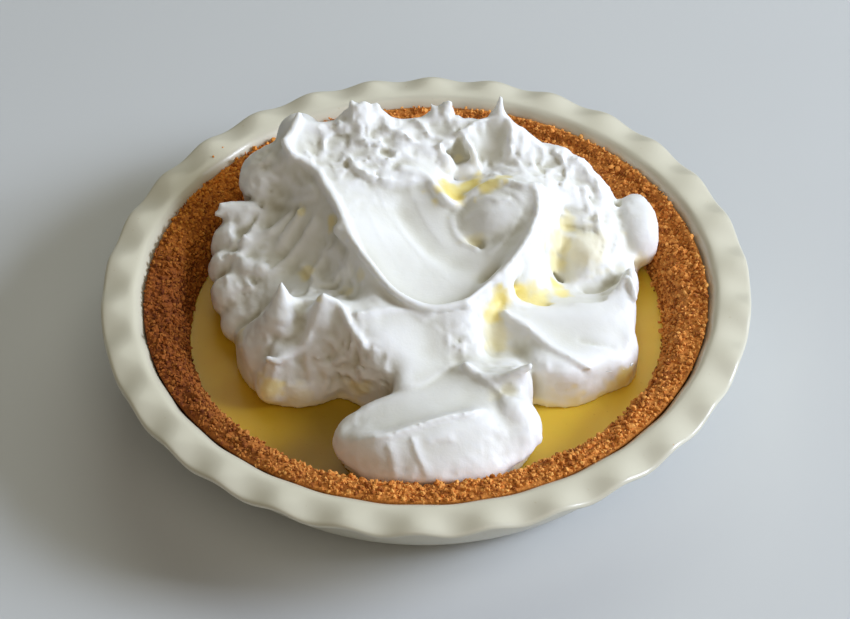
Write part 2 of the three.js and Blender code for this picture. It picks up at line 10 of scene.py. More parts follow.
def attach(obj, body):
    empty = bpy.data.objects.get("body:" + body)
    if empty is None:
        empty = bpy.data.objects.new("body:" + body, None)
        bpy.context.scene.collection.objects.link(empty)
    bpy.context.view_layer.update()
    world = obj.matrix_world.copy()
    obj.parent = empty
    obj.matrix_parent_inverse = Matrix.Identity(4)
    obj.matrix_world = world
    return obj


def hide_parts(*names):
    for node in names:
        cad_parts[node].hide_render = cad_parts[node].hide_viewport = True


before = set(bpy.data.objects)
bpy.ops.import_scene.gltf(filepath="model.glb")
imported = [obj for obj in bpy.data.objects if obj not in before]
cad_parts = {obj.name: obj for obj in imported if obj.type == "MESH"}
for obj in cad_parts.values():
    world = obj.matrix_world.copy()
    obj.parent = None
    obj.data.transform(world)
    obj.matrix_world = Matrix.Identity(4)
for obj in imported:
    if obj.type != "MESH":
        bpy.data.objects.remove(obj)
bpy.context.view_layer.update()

mm = 0.001
patternReach = 120.0               # from the middle to where a colour that varies across a piece ends, in mm

# the photograph's camera, which also places what is read off the photograph
cameraView = {
    "target": (-0.43, 6.76, 25.0),
    "distance": 1150.0,
    "elevation": math.radians(44.803),
    "roll": math.radians(-1.504),
    "lens": 114.3,
    "sensor": 36.0,
    "photoSize": (850, 619),
}


# small helpers

def sightLine(across, down):
    # the camera's place in mm and the way it looks through a point of the photograph
    width, height = cameraView["photoSize"]
    focal = cameraView["lens"] * width / cameraView["sensor"]
    rise, roll = cameraView["elevation"], cameraView["roll"]
    forward = np.array((0.0, math.cos(rise), -math.sin(rise)))
    upward = np.array((0.0, math.sin(rise), math.cos(rise)))
    u, v = across - width / 2, down - height / 2
    right = u * math.cos(roll) + v * math.sin(roll)
    below = v * math.cos(roll) - u * math.sin(roll)
    way = forward + (np.array((1.0, 0.0, 0.0)) * right - upward * below) / focal
    return np.array(cameraView["target"]) - forward * cameraView["distance"], way


def placed(across, down, height):
    # where a point of the photograph lies, in mm, at a known height
    eye, way = sightLine(across, down)
    return eye + way * (height - eye[2]) / way[2]


def smoothStep(value, low, high):
    t = np.clip((value - low) / (high - low), 0.0, 1.0)
    return t * t * (3.0 - 2.0 * t)


def fade(value, low, high):
    # the same for one number
    t = min(max((value - low) / (high - low), 0.0), 1.0)
    return t * t * (3.0 - 2.0 * t)


def curveThrough(points, perSpan):
    # Catmull-Rom through the points, any number of values each
    p = np.array(points, float)
    if len(p) == 2:
        t = np.linspace(0.0, 1.0, perSpan + 1)[:, None]
        return p[0] * (1 - t) + p[1] * t
    ends = np.vstack([2 * p[0] - p[1], p, 2 * p[-1] - p[-2]])
    out = []
    for a, b, c, d in zip(ends, ends[1:], ends[2:], ends[3:]):
        for t in np.linspace(0.0, 1.0, perSpan, endpoint=False):
            out.append(0.5 * (2 * b + (c - a) * t + (2 * a - 5 * b + 4 * c - d) * t ** 2
                              + (3 * b - a - 3 * c + d) * t ** 3))
    out.append(p[-1])
    return np.array(out)


def waves(angle, rows):
    # sine waves round the axis, added up: waves in a turn, height in mm and start
    return sum(height * math.sin(count * angle + start) for count, height, start in rows)


def addPiece(name, mesh, material, replaced=None):
    piece = bpy.data.objects.new(name, mesh)
    bpy.context.scene.collection.objects.link(piece)
    mesh.materials.append(material)
    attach(piece, "root")
    if replaced:
        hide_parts(replaced)


def spunMesh(name, profile, steps, moveVert):
    # an open profile of (radius, height) in mm, its ends on the axis, spun once round Z, then moved
    bm = bmesh.new()
    verts = [bm.verts.new((r * mm, 0.0, z * mm)) for r, z in profile]
    edges = [bm.edges.new(pair) for pair in zip(verts, verts[1:])]
    bmesh.ops.spin(bm, geom=verts + edges, cent=(0, 0, 0), axis=(0, 0, 1), dvec=(0, 0, 0),
                   angle=2 * math.pi, steps=steps, use_merge=True)
    bmesh.ops.remove_doubles(bm, verts=bm.verts, dist=0.00001)
    for v in bm.verts:
        v.co = moveVert(v.co)
    bmesh.ops.recalc_face_normals(bm, faces=bm.faces)
    mesh = bpy.data.meshes.new(name)
    bm.to_mesh(mesh)
    bm.free()
    mesh.shade_smooth()
    return mesh


class Shader:
    # a material with its principled shader and short ways to add nodes
    def __init__(self, name, **sockets):
        self.material = bpy.data.materials.new(name)
        self.material.use_nodes = True
        self.nodes = self.material.node_tree.nodes
        self.links = self.material.node_tree.links
        self.shader = self.nodes["Principled BSDF"]
        for socket, value in sockets.items():
            self.shader.inputs[socket.replace("_", " ")].default_value = value
        self.place = self.nodes.new("ShaderNodeTexCoord").outputs["Object"]

    def node(self, kind, **settings):
        made = self.nodes.new(kind)
        for key, value in settings.items():
            if key in made.inputs:
                made.inputs[key].default_value = value
            else:
                setattr(made, key, value)
        return made

    def noise(self, scale, detail=3.0, roughness=0.55, distortion=0.0, **settings):
        made = self.node("ShaderNodeTexNoise", **settings, Scale=scale, Detail=detail, Roughness=roughness,
                         Distortion=distortion)
        self.links.new(self.place, made.inputs["Vector"])
        return made.outputs["Fac"]

    def cells(self, scale):
        made = self.node("ShaderNodeTexVoronoi", Scale=scale)
        self.links.new(self.place, made.inputs["Vector"])
        return made.outputs["Distance"]

    def painted(self, name):
        # a value that is painted on the mesh
        return self.node("ShaderNodeAttribute", attribute_name=name).outputs["Fac"]

    def across(self, axis):
        # an object's coordinate, 0.5 in the middle and 1 or 0 at the pattern's reach
        parts = self.node("ShaderNodeSeparateXYZ")
        self.links.new(self.place, parts.inputs["Vector"])
        made = self.node("ShaderNodeMapRange")
        self.links.new(parts.outputs[axis], made.inputs["Value"])
        made.inputs["From Min"].default_value = -patternReach * mm
        made.inputs["From Max"].default_value = patternReach * mm
        return made.outputs["Result"]

    def ramp(self, fac, stops):
        made = self.nodes.new("ShaderNodeValToRGB")
        self.links.new(fac, made.inputs["Fac"])
        elements = made.color_ramp.elements
        while len(elements) < len(stops):
            elements.new(0.5)
        for element, (position, color) in zip(elements, stops):
            element.position = position
            element.color = (*color, 1.0)
        return made.outputs["Color"]

    def mix(self, fac, a, b, blend="MIX"):
        made = self.nodes.new("ShaderNodeMix")
        made.data_type = "RGBA"
        made.blend_type = blend
        for socket, value in ((made.inputs["Factor"], fac), (made.inputs[6], a), (made.inputs[7], b)):
            if isinstance(value, bpy.types.NodeSocket):
                self.links.new(value, socket)
            else:
                socket.default_value = value
        return made.outputs[2]

    def bump(self, height, strength, distance):
        made = self.node("ShaderNodeBump", Strength=strength, Distance=distance)
        self.links.new(height, made.inputs["Height"])
        last = self.shader.inputs["Normal"].links
        if last:
            self.links.new(last[0].from_socket, made.inputs["Normal"])
        self.links.new(made.outputs["Normal"], self.shader.inputs["Normal"])

    def feed(self, socketName, output):
        self.links.new(output, self.shader.inputs[socketName])


# the fluted dish

dish = {
    "steps": 480,
    "flutes": 30,
    "fluteHeight": 1.2,
    "scallop": 0.25,
    "crestAt": math.radians(-92.4),
    "rimRadius": 136.0,
    "flangeRadius": 121.0,
    "innerEdge": 122.0,
    "flangeTop": 44.0,
    "scallopHeight": (34, 43.5),   # the scallop grows between these heights
    "scallopBand": (5, 13),        # and between these distances in from the rim
    "wobbleFrom": 10.0,
    "wobble": [(3, 0.12, 0.6), (7, 0.1, 0.0)],
    "profile": [
        (0, 0), (60, 0), (99, 0), (102.2, 0.9), (105.5, 3.4), (111, 9.3), (115.4, 16), (118.6, 24),
        (120.8, 32.5), (122.3, 39), (124.6, 41.9), (129, 42.5), (133.8, 42.4), (135.5, 42.9), (136, 44.0),
        (135.4, 45.1), (133.6, 45.7), (129, 46.3), (124, 46.4), (121.4, 45.6), (119.6, 43.6), (118.2, 40.5),
        (116.6, 35), (113.6, 25.5), (109.6, 16), (104.6, 9), (99, 5.6), (92, 5), (50, 5), (0, 5),
    ],
}


def fluted(co):
    r = math.hypot(co.x, co.y) / mm
    z = co.z / mm
    angle = math.atan2(co.y, co.x)
    wave = math.cos(dish["flutes"] * (angle - dish["crestAt"]))
    lift = dish["fluteHeight"] * fade(r, dish["flangeRadius"], dish["rimRadius"] - 2) * wave
    onFlange = fade(z, *dish["scallopHeight"]) * fade(dish["rimRadius"] - r, *dish["scallopBand"])
    inward = dish["scallop"] * wave * onFlange if r < dish["innerEdge"] or z > dish["flangeTop"] else 0.0
    r = r - inward + waves(angle, dish["wobble"]) * fade(z, dish["wobbleFrom"], dish["flangeTop"])
    return Vector((r * math.cos(angle) * mm, r * math.sin(angle) * mm, (z + lift) * mm))


def glazeMaterial():
    glaze = Shader("creamGlaze", Roughness=0.33, Coat_Weight=0.3, Coat_Roughness=0.12, IOR=1.5)
    tone = glaze.ramp(glaze.noise(9.0, 4.0), [(0.3, (0.62, 0.59, 0.47)), (0.7, (0.66, 0.63, 0.515))])
    speck = glaze.ramp(glaze.noise(420.0, 2.0), [(0.71, (1, 1, 1)), (0.76, (0.93, 0.9, 0.84))])
    glaze.feed("Base Color", glaze.mix(1.0, tone, speck, "MULTIPLY"))
    glaze.bump(glaze.noise(60.0, 2.0), 0.1, 0.0006)
    return glaze.material


dishMesh = spunMesh("dishShell", curveThrough(dish["profile"], 4), dish["steps"], fluted)
addPiece("dishShell", dishMesh, glazeMaterial(), "dish")
print("dish made:", len(dishMesh.polygons), "faces")


# the crumb crust

crust = {
    "steps": 560,
    "profile": [
        (0, 5.3), (60, 5.3), (96.5, 5.5), (102.5, 8.4), (108.4, 15.5), (113, 25.6), (115.8, 34.5),
        (117.2, 39.5), (118.2, 42.2), (117.6, 43.4), (115.2, 43.4), (112.2, 43.1), (109.4, 42.4),
        (107.2, 40.9), (105.6, 38), (104.2, 34), (102.8, 29.5), (101.6, 25.5), (100.7, 22), (99, 16),
        (96, 12.2), (92, 11), (50, 11), (0, 11),
    ],
    "swell": [(5, 0.45, 1), (11, 0.3, 2), (17, 0.25, 0)],
    "clump": 1.3,
    "clumpSize": 7.0,
    "lumpSize": 3.3,
    "crumb": 0.6,
    "crumbSize": 2.1,
    "roughFrom": (20.5, 23.5),     # the relief grows between these heights
    "topRadius": 114.5,            # past this radius only the top is rough
    "topHeight": 42.8,
    "outerRadius": 118.6,
    "outerFade": 3.0,
    "leanBand": (104, 109),        # the radii where the inner face turns into the top
    "inwardLimits": (-1.1, 1.6),
    "dip": 4.0,                    # the crust stands lower at the right rear
    "dipAt": math.radians(48),
    "dipSpread": (0.35, 0.9),
    "dipHeight": (30, 42),
    "seed": 5,
}


def craggy(co):
    r = math.hypot(co.x, co.y) / mm
    z = co.z / mm
    shown = fade(z, *crust["roughFrom"]) * (1.0 if r < crust["topRadius"] or z > crust["topHeight"] else 0.0)
    shown *= fade(crust["outerRadius"] - r, 0.0, crust["outerFade"])
    if shown == 0.0:
        return co
    p = Vector(co) / mm
    angle = math.atan2(co.y, co.x)
    swell = waves(angle, crust["swell"])
    lump = noise.noise(p / crust["lumpSize"] + Vector((9, 0, 0)))
    clump = crust["clump"] * noise.noise(p / crust["clumpSize"]) + 0.6 * crust["clump"] * lump
    crumb = crust["crumb"] * (0.6 - noise.voronoi(p / crust["crumbSize"])[0][0])
    lean = fade(r, *crust["leanBand"])   # 0 on the inner face, 1 on the top
    dip = crust["dip"] * fade(math.cos(angle - crust["dipAt"]), *crust["dipSpread"])
    rise = shown * (lean * (swell + clump + crumb) - fade(z, *crust["dipHeight"]) * dip)
    inward = shown * (1 - lean) * (0.5 * swell + 0.8 * clump + crumb)
    inward = min(max(inward, crust["inwardLimits"][0]), crust["inwardLimits"][1]) + 0.3 * dip * lean
    r = r - inward
    return Vector((r * math.cos(angle) * mm, r * math.sin(angle) * mm, co.z + rise * mm))


def crumbMaterial(name, dark, light):
    # painted shade: the left side, in the heap's shadow, is coloured darker, and less so towards the back
    crumbs = Shader(name, Roughness=0.82, Specular_IOR_Level=0.3)
    grain = crumbs.ramp(crumbs.noise(900.0, 3.0, 0.7), [(0.35, dark), (0.62, light)])
    patch = crumbs.ramp(crumbs.noise(60.0, 2.0), [(0.3, (0.84, 0.79, 0.72)), (0.7, (1.0, 1.0, 1.0))])
    side = crumbs.across("X")
    leftFront = crumbs.ramp(side, [(0.08, (0.4, 0.27, 0.14)), (0.38, (1.0, 0.98, 0.94))])
    leftBack = crumbs.ramp(side, [(0.08, (1.0, 0.88, 0.42)), (0.38, (1.0, 0.98, 0.94))])
    behind = crumbs.ramp(crumbs.across("Y"), [(0.55, (0.0, 0.0, 0.0)), (0.82, (1.0, 1.0, 1.0))])
    paintedCrustShade = crumbs.mix(behind, leftFront, leftBack)
    crumbs.feed("Base Color", crumbs.mix(1.0, crumbs.mix(1.0, grain, patch, "MULTIPLY"), paintedCrustShade, "MULTIPLY"))
    crumbs.bump(crumbs.noise(1400.0, 3.0), 0.6, 0.0003)
    return crumbs.material


crustMesh = spunMesh("crustBed", curveThrough(crust["profile"], 4), crust["steps"], craggy)
addPiece("crustBed", crustMesh, crumbMaterial("crustBed", (0.42, 0.14, 0.022), (0.76, 0.31, 0.065)),
         "crust")
print("crust bed made:", len(crustMesh.polygons), "faces")

crumbKinds = {
    "crumbsGolden": {
        "dark": (0.8, 0.34, 0.075), "light": (0.98, 0.52, 0.15), "count": 9000, "size": (0.4, 1.1)
    },
    "crumbsToasted": {
        "dark": (0.68, 0.26, 0.05), "light": (0.92, 0.41, 0.1), "count": 9600, "size": (0.4, 1.35)
    },
    "crumbsDark": {
        "dark": (0.26, 0.07, 0.01), "light": (0.5, 0.17, 0.03), "count": 8000, "size": (0.35, 1.0)
    },
}

scatter = {
    "bodies": 8,
    "jitter": (0.6, 1.3),
    "stretch": (0.6, 1.35),
    "smallness": 2.5,              # a higher power leaves more small crumbs
    "standOut": (-0.25, 0.55),     # in radii
    "drift": 0.45,
    "lowest": 21.6,
    "bedFrom": 22.0,
    "outerRadius": 118.4,
}

# crumbs that fell outside the crust: place in mm and radius
strayCrumbs = [
    (-92, 84, 46.9, 0.55), (-88, 90, 46.8, 0.4), (-74, 92, 43.5, 1.1), (90, 78, 42.5, 0.6),
    (96, -94, 46.2, 0.7), (118, -12, 45.2, 0.35), (-119, -30, 45.4, 0.35), (64, -100, 45.2, 0.5),
]


def crumbBody(rng):
    # one jittered grain of twelve corners
    bm = bmesh.new()
    bmesh.ops.create_icosphere(bm, subdivisions=1, radius=1.0)
    verts = np.array([v.co[:] for v in bm.verts])
    faces = np.array([[v.index for v in f.verts] for f in bm.faces])
    bm.free()
    return verts * rng.uniform(*scatter["jitter"], (len(verts), 1)), faces


def scatterMesh(name, centres, radii, rng):
    bodies = [crumbBody(rng) for _ in range(scatter["bodies"])]
    allVerts, allFaces, start = [], [], 0
    for centre, radius in zip(centres, radii):
        verts, faces = bodies[rng.integers(len(bodies))]
        turn = Matrix.Rotation(rng.uniform(0, 6.28), 3, Vector(rng.normal(size=3)).normalized())
        stretch = rng.uniform(*scatter["stretch"], 3) * radius
        allVerts.append((verts * stretch) @ np.array(turn) + centre)
        allFaces.append(faces + start)
        start += len(verts)
    mesh = bpy.data.meshes.new(name)
    mesh.from_pydata((np.vstack(allVerts) * mm).tolist(), [], np.vstack(allFaces).tolist())
    mesh.update()
    return mesh


def vertexPlaces(mesh):
    # in mm
    places = np.empty(len(mesh.vertices) * 3)
    mesh.vertices.foreach_get("co", places)
    return places.reshape(-1, 3) / mm


def shownCrustFaces():
    # A spin leaves its faces, and the corner each starts from, in another order on each run. So each face
    # is read from its first corner by place and the faces are sorted by place, and the crumbs stay put.
    quads = np.array([face.vertices[:] for face in crustMesh.polygons if len(face.vertices) == 4])
    corners = vertexPlaces(crustMesh)[quads]
    rank = corners[:, :, 0] + 0.37 * corners[:, :, 1] + 0.011 * corners[:, :, 2]
    turn = (rank.argmin(axis=1)[:, None] + np.arange(4)) % 4
    order = np.lexsort(np.sort(rank, axis=1).T)
    a, b, c, d = np.take_along_axis(corners, turn[:, :, None], axis=1)[order].transpose(1, 0, 2)
    centres = (a + b + c + d) / 4
    facing = np.cross(c - a, d - b)
    length = np.sqrt((facing ** 2).sum(axis=1))
    normals = facing / length[:, None]
    areas = length / 2
    r = np.hypot(centres[:, 0], centres[:, 1])
    shown = (centres[:, 2] > scatter["bedFrom"]) & ((r < crust["topRadius"]) | (normals[:, 2] > 0.0))
    return centres[shown], normals[shown], areas[shown]


rng = np.random.default_rng(crust["seed"])
faceCentres, faceNormals, faceAreas = shownCrustFaces()
for kindName, kind in crumbKinds.items():
    picks = rng.choice(len(faceCentres), kind["count"], p=faceAreas / faceAreas.sum())
    small, large = kind["size"]
    radii = small + (large - small) * rng.random(kind["count"]) ** scatter["smallness"]
    standing = radii * rng.uniform(*scatter["standOut"], kind["count"])
    spots = faceCentres[picks] + faceNormals[picks] * standing[:, None]
    spots += rng.normal(0, scatter["drift"], spots.shape)
    reach = np.hypot(spots[:, 0], spots[:, 1])
    kept = (reach < scatter["outerRadius"] - 0.5 * radii) & (spots[:, 2] > scatter["lowest"])
    spots, radii = spots[kept], radii[kept]
    if kindName == "crumbsToasted":
        spots = np.vstack([spots, [s[:3] for s in strayCrumbs]])
        radii = np.append(radii, [s[3] for s in strayCrumbs])
    crumbMesh = scatterMesh(kindName, spots, radii, rng)
    addPiece(kindName, crumbMesh, crumbMaterial(kindName, kind["dark"], kind["light"]))
    print(kindName, "made:", len(crumbMesh.polygons), "faces")


# the lemon filling

filling = {
    "steps": 300,
    "profile": [
        (0, 11.3), (60, 11.3), (91.5, 11.4), (95.5, 13), (98, 17), (100.4, 21.2), (100.3, 22.2),
        (99.4, 22.1), (97, 21.9), (92, 21.8), (80, 21.8), (64, 21.8), (40, 21.8), (0, 21.8),
    ],
    "topFrom": 21.5,
    "ripple": 0.28,
    "rippleSize": 26.0,
    "drawnSize": (9.0, 22.0),
    "dentSpacing": 13.0,
    "dentDepth": 0.35,
    "dentRadius": 0.13,            # as a share of the spacing
}


def rippled(co):
    if co.z < filling["topFrom"] * mm:
        return co
    p = Vector(co) / mm
    size, spacing = filling["rippleSize"], filling["dentSpacing"]
    slow = noise.noise(Vector((p.x / size, p.y / size, 0.3)))
    wide, long = filling["drawnSize"]
    drawn = noise.noise(Vector((p.x / wide + 0.4 * slow, p.y / long, 2.7)))
    away = noise.voronoi(Vector((p.x / spacing, p.y / spacing, 0.9)))[0][0]
    dent = -filling["dentDepth"] * fade(filling["dentRadius"] - away, 0.0, 0.1)
    return Vector((co.x, co.y, co.z + (filling["ripple"] * (slow + 0.5 * drawn) + dent) * mm))


def curdMaterial():
    curd = Shader("lemonCurd", Roughness=0.42, Subsurface_Weight=0.35, Subsurface_Scale=0.006,
                  Subsurface_Radius=(1.0, 0.6, 0.15), Coat_Weight=0.12, Coat_Roughness=0.2,
                  Specular_IOR_Level=0.35)
    mottle = curd.noise(22.0, 3.0, 0.5, 0.6)
    tone = curd.ramp(mottle, [(0.3, (0.88, 0.56, 0.045)), (0.7, (0.95, 0.66, 0.075))])
    fleck = curd.ramp(curd.noise(700.0, 1.0), [(0.72, (1, 1, 1)), (0.8, (0.9, 0.84, 0.7))])
    # painted shade: the curd is coloured darker on the left and in front, where the heap's shadow falls,
    # than on the right
    paintedCurdShade = curd.ramp(curd.across("X"), [
        (0.19, (0.66, 0.59, 0.33)), (0.3, (0.44, 0.4, 0.17)), (0.55, (0.54, 0.51, 0.34)),
        (0.8, (1.0, 1.0, 1.0))
    ])
    curd.feed("Base Color", curd.mix(1.0, curd.mix(1.0, tone, fleck, "MULTIPLY"), paintedCurdShade, "MULTIPLY"))
    bubbles = curd.ramp(curd.cells(150.0), [(0.0, (0, 0, 0)), (0.16, (1, 1, 1))])
    curd.bump(bubbles, 0.25, 0.0003)
    curd.bump(curd.noise(45.0, 3.0, 0.5, 0.8), 0.25, 0.0012)
    return curd.material


fillingMesh = spunMesh("lemonFilling", curveThrough(filling["profile"], 5), filling["steps"], rippled)
addPiece("lemonFilling", fillingMesh, curdMaterial(), "filling")
print("filling made:", len(fillingMesh.polygons), "faces")


# the meringue: a skin stretched between the spoon's ridges, with lobes, tips, clefts and scoops
# lengths are in mm

heap = {
    "voxel": 1.05,
    "low": (-112.0, -108.0, 18.0),
    "high": (112.0, 104.0, 98.0),
    "skinStep": 2.0,
    "skinReach": 112.0,
    "sweeps": 600,
    "overshoot": 1.9,              # how far a sweep moves the skin, past 1 to settle sooner
    "softening": 3,
    "sightStep": 0.25,
    "creaseReach": 3.0,
    "rounding": 7.0,
    "base": 22.0,
    "crustSlope": 0.3,
    "crustRadius": 98.6,
    "seed": 11,
}

footprints = {
    "heap": ((1, 26), (90, 67), 0),
    "lowerLeft": ((-50, -8), (30, 38), -12),
    "middle": ((5, -20), (52, 34), 0),
    "neck": ((14, -56), (28, 22), 0),
    "tongue": ((0, -82), (39, 22), -2),
    "tongueRight": ((20, -76), (25, 19), 0),
    "rightFront": ((60, -12), (27, 39), -14),
    "rightCorner": ((75, -29), (12, 12), 0),
    "right": ((70, 22), (16, 24), 0),
}

# Each ridge or hollow that the spoon left: the radius of its rounded lip, or 0, then the points it passes.
# A point is read off the photograph, across and down, with its height in mm.
spoonLines = {
    "mainCrest": (1.5, [
        (285, 143, 80), (293, 155, 78), (313, 167, 75), (335, 201, 73), (352, 238, 70), (372, 266, 68),
        (396, 293, 65), (430, 308, 61), (466, 303, 61)
    ]),
    "mainWall": (2.6, [
        (340, 230, 69), (354, 247, 66.5), (372, 273, 63.5), (396, 300, 60), (428, 314, 57.5)
    ]),
    "frontCrest": (1.2, [(466, 303, 61), (488, 284, 62), (512, 262, 64), (531, 234, 66)]),
    "rightCrest": (0.8, [(531, 234, 66), (538, 212, 68), (539, 196, 70), (533, 186, 71)]),
    "sideCrest": (0, [(347, 152, 74.5), (347, 180, 73), (349, 212, 71.5)]),
    "scoopFloor": (0, [(400, 215, 61), (430, 250, 56), (462, 268, 55)]),
    "curlCrest": (1.2, [
        (457, 206, 62), (472, 194, 66), (489, 184, 69), (506, 181, 71), (521, 184, 72), (533, 186, 71)
    ]),
    "curlFace": (0, [(480, 205, 65), (500, 203, 68), (516, 213, 67)]),
    "curlEdge": (1.0, [(457, 206, 62), (452, 219, 60), (455, 232, 58), (464, 243, 57), (477, 249, 57)]),
    "innerWall": (0, [(495, 246, 57), (510, 228, 61), (521, 212, 66)]),
    "holeFloor": (0, [(446, 188, 50), (458, 193, 48), (478, 186, 50), (500, 179, 55)]),
    "holeCrest": (1.6, [(404, 170, 72), (427, 177, 70), (437, 190, 68), (448, 201, 66), (457, 206, 63)]),
    "upperLobe": (0, [(281, 128, 79), (284, 119, 83), (297, 114, 84), (312, 118, 83), (328, 123, 81)]),
    "upperLobeCrest": (1.4, [(299, 115, 84), (294, 128, 82), (285, 142, 80)]),
    "facet": (0, [(302, 143, 77), (316, 148, 76), (326, 138, 77)]),
    "rearLeft": (0, [
        (330, 122, 80), (345, 112, 83), (361, 105, 84), (375, 107, 84), (382, 119, 81), (404, 123, 79)
    ]),
    "rearMiddle": (0, [
        (410, 118, 80), (428, 112, 81), (444, 106, 82), (455, 114, 80), (478, 117, 79), (497, 114, 79),
        (513, 120, 77), (534, 133, 73)
    ]),
    "rearRight": (0, [(556, 138, 70), (581, 154, 66), (604, 180, 60), (612, 194, 54)]),
    "roughTop": (0, [(335, 138, 77), (360, 134, 79), (395, 144, 75)]),
    "roughLow": (0, [(356, 165, 72), (375, 172, 71), (400, 176, 70)]),
    "leftLobe": (0, [(241, 172, 60), (252, 155, 67), (266, 146, 73), (281, 143, 76)]),
    "leftLobeFace": (0, [(262, 185, 60), (285, 180, 66), (305, 190, 67)]),
    "leftLobeFoot": (0, [(242, 203, 47), (262, 205, 50), (290, 208, 55)]),
    "foldCrest": (0.6, [(441, 151, 71), (452, 141, 74), (463, 133, 77), (469, 143, 74), (475, 156, 70)]),
    "foldFace": (0, [(456, 154, 66), (467, 158, 64)]),
    "foldLeft": (0, [(430, 140, 74), (436, 158, 70), (444, 172, 62)]),
    "greyFacetTop": (0.6, [
        (463, 131, 77), (480, 121, 79), (500, 117, 79), (509, 121, 78), (511, 136, 74), (512, 148, 71)
    ]),
    "greyFacet": (0, [(478, 136, 72), (492, 134, 72), (500, 144, 70)]),
    "greyFacetFoot": (0, [(478, 152, 69), (492, 153, 69), (506, 151, 69)]),
    "rearFoot": (0, [(485, 166, 63), (500, 168, 64), (515, 165, 66)]),
    "rightSlope": (0, [(548, 165, 66), (575, 183, 60), (598, 200, 53)]),
    "rightBand": (0, [(548, 195, 66), (552, 220, 61), (545, 250, 55), (543, 272, 49), (560, 297, 42)]),
    "creamValley": (0, [(564, 222, 51), (557, 250, 46), (553, 272, 40), (562, 290, 36)]),
    "creamTop": (0, [(568, 206, 56), (590, 213, 54), (610, 222, 50)]),
    "creamFace": (0, [(580, 240, 53), (598, 258, 50), (606, 280, 42)]),
    "creamFoot": (0, [(572, 286, 42), (590, 296, 38), (612, 294, 33)]),
    "cleft": (0, [(492, 318, 43), (500, 305, 43), (520, 300, 44), (542, 303, 43)]),
    "rightTop": (0.4, [
        (505, 313, 53), (528, 330, 50), (548, 347, 47), (575, 362, 44), (600, 371, 41), (622, 370, 39),
        (634, 362, 37.5)
    ]),
    "rightBack": (0, [(520, 312, 51), (560, 308, 50), (600, 312, 48), (626, 300, 46)]),
    "rightFlat": (0, [(570, 338, 45), (605, 343, 43)]),
    "rightSide": (0, [(634, 318, 42), (630, 340, 40), (634, 362, 35)]),
    "creamFacet": (0, [(492, 325, 48), (490, 345, 42), (492, 365, 36)]),
    "creamFacetEdge": (0, [(516, 345, 43), (522, 365, 35)]),
    "plateauTop": (0.5, [(358, 314, 62.5), (381, 311, 61.5), (408, 312, 59.5), (425, 321, 57)]),
    "plateauEdge": (0, [(425, 321, 57), (440, 332, 54), (455, 342, 52), (470, 345, 50.5), (480, 351, 49)]),
    "apron": (0, [(446, 318, 57.5), (460, 326, 55.5), (472, 335, 53)]),
    "plateau": (0, [(378, 335, 59), (405, 345, 54.5), (430, 355, 49.5)]),
    "plateauFoot": (0, [(370, 362, 52.5), (400, 380, 49.5), (433, 378, 47.5), (460, 362, 47)]),
    "column": (0, [(470, 318, 56), (481, 340, 50), (486, 354, 46)]),
    "leftValley": (0, [(283, 268, 46), (310, 270, 49), (335, 290, 50), (352, 303, 53)]),
    "leftFace": (0, [(316, 235, 60), (338, 262, 56)]),
    "peakOne": (0, [(281, 285, 67), (276, 297, 61), (267, 314, 56), (259, 335, 49)]),
    "bowl": (0, [(290, 309, 56), (302, 313, 55)]),
    "saddle": (0.9, [(287, 298, 60), (299, 302, 58), (312, 301, 60)]),
    "peakLip": (1.1, [(268, 358, 46), (276, 361, 45), (286, 356, 46), (300, 350, 47)]),
    "peakTwo": (1.0, [(323, 298, 66), (335, 301, 65), (343, 311, 63), (350, 325, 60), (362, 343, 56.5)]),
    "peakTwoSide": (1.0, [(321, 300, 65), (312, 316, 59), (310, 332, 54), (301, 348, 48)]),
    "peakFace": (0, [(326, 325, 56), (328, 343, 50)]),
    "peakFoot": (0, [(285, 382, 34), (315, 388, 33), (345, 382, 36)]),
    "lowerFold": (0, [(262, 375, 34), (258, 360, 40), (256, 345, 45)]),
    "dollopTop": (1.0, [(226, 211, 54), (240, 210, 55), (256, 210, 56)]),
    "dollopRidge": (1.0, [(296, 212, 58), (276, 228, 55), (256, 244, 50), (240, 255, 48)]),
    "dollopValley": (0, [(262, 214, 52), (250, 228, 50), (236, 240, 49)]),
    "dollopEdge": (0, [(222, 230, 48), (215, 250, 43), (218, 280, 37)]),
    "dollopLow": (1.0, [(228, 266, 44), (246, 264, 47), (263, 268, 50)]),
    "dollopLowFace": (0, [(240, 290, 43), (256, 300, 42)]),
    "dollopLowFoot": (0, [(228, 322, 33), (246, 330, 33), (260, 318, 38)]),
    "tongueTop": (0, [
        (343, 438, 48), (360, 441, 51), (380, 440, 53), (403, 434, 54), (440, 424, 55), (486, 412, 54)
    ]),
    "tongueBack": (0, [(348, 408, 45), (367, 398, 47), (395, 396, 48)]),
    "tongueFlat": (0, [(410, 408, 50), (450, 400, 50), (478, 398, 49)]),
    "lip": (1.2, [(466, 366, 51), (480, 377, 51), (500, 378, 53), (517, 372, 56), (530, 367, 58)]),
    "lipSide": (0, [(535, 377, 54), (537, 388, 49), (536, 400, 44), (532, 412, 38)]),
    "lipInside": (0, [(521, 379, 54), (527, 386, 51), (527, 396, 48)]),
    "hollow": (0, [(503, 395, 47.5), (513, 400, 46.5)]),
    "lipFace": (0, [(500, 390, 48), (512, 387, 50)]),
    "knob": (0, [(503, 407, 50), (515, 405, 51), (522, 416, 47)]),
    "lobeTop": (0, [(622, 193, 46), (642, 199, 47), (654, 220, 44), (657, 243, 38)]),
    "lobeCrease": (0, [(621, 217, 41), (641, 206, 45)]),
    "lobeFace": (0, [(640, 245, 38), (628, 262, 30)]),
    "smallPeak": (1.0, [(608, 300, 46), (618, 288, 48), (626, 277, 51), (632, 284, 50), (635, 298, 46)]),
}

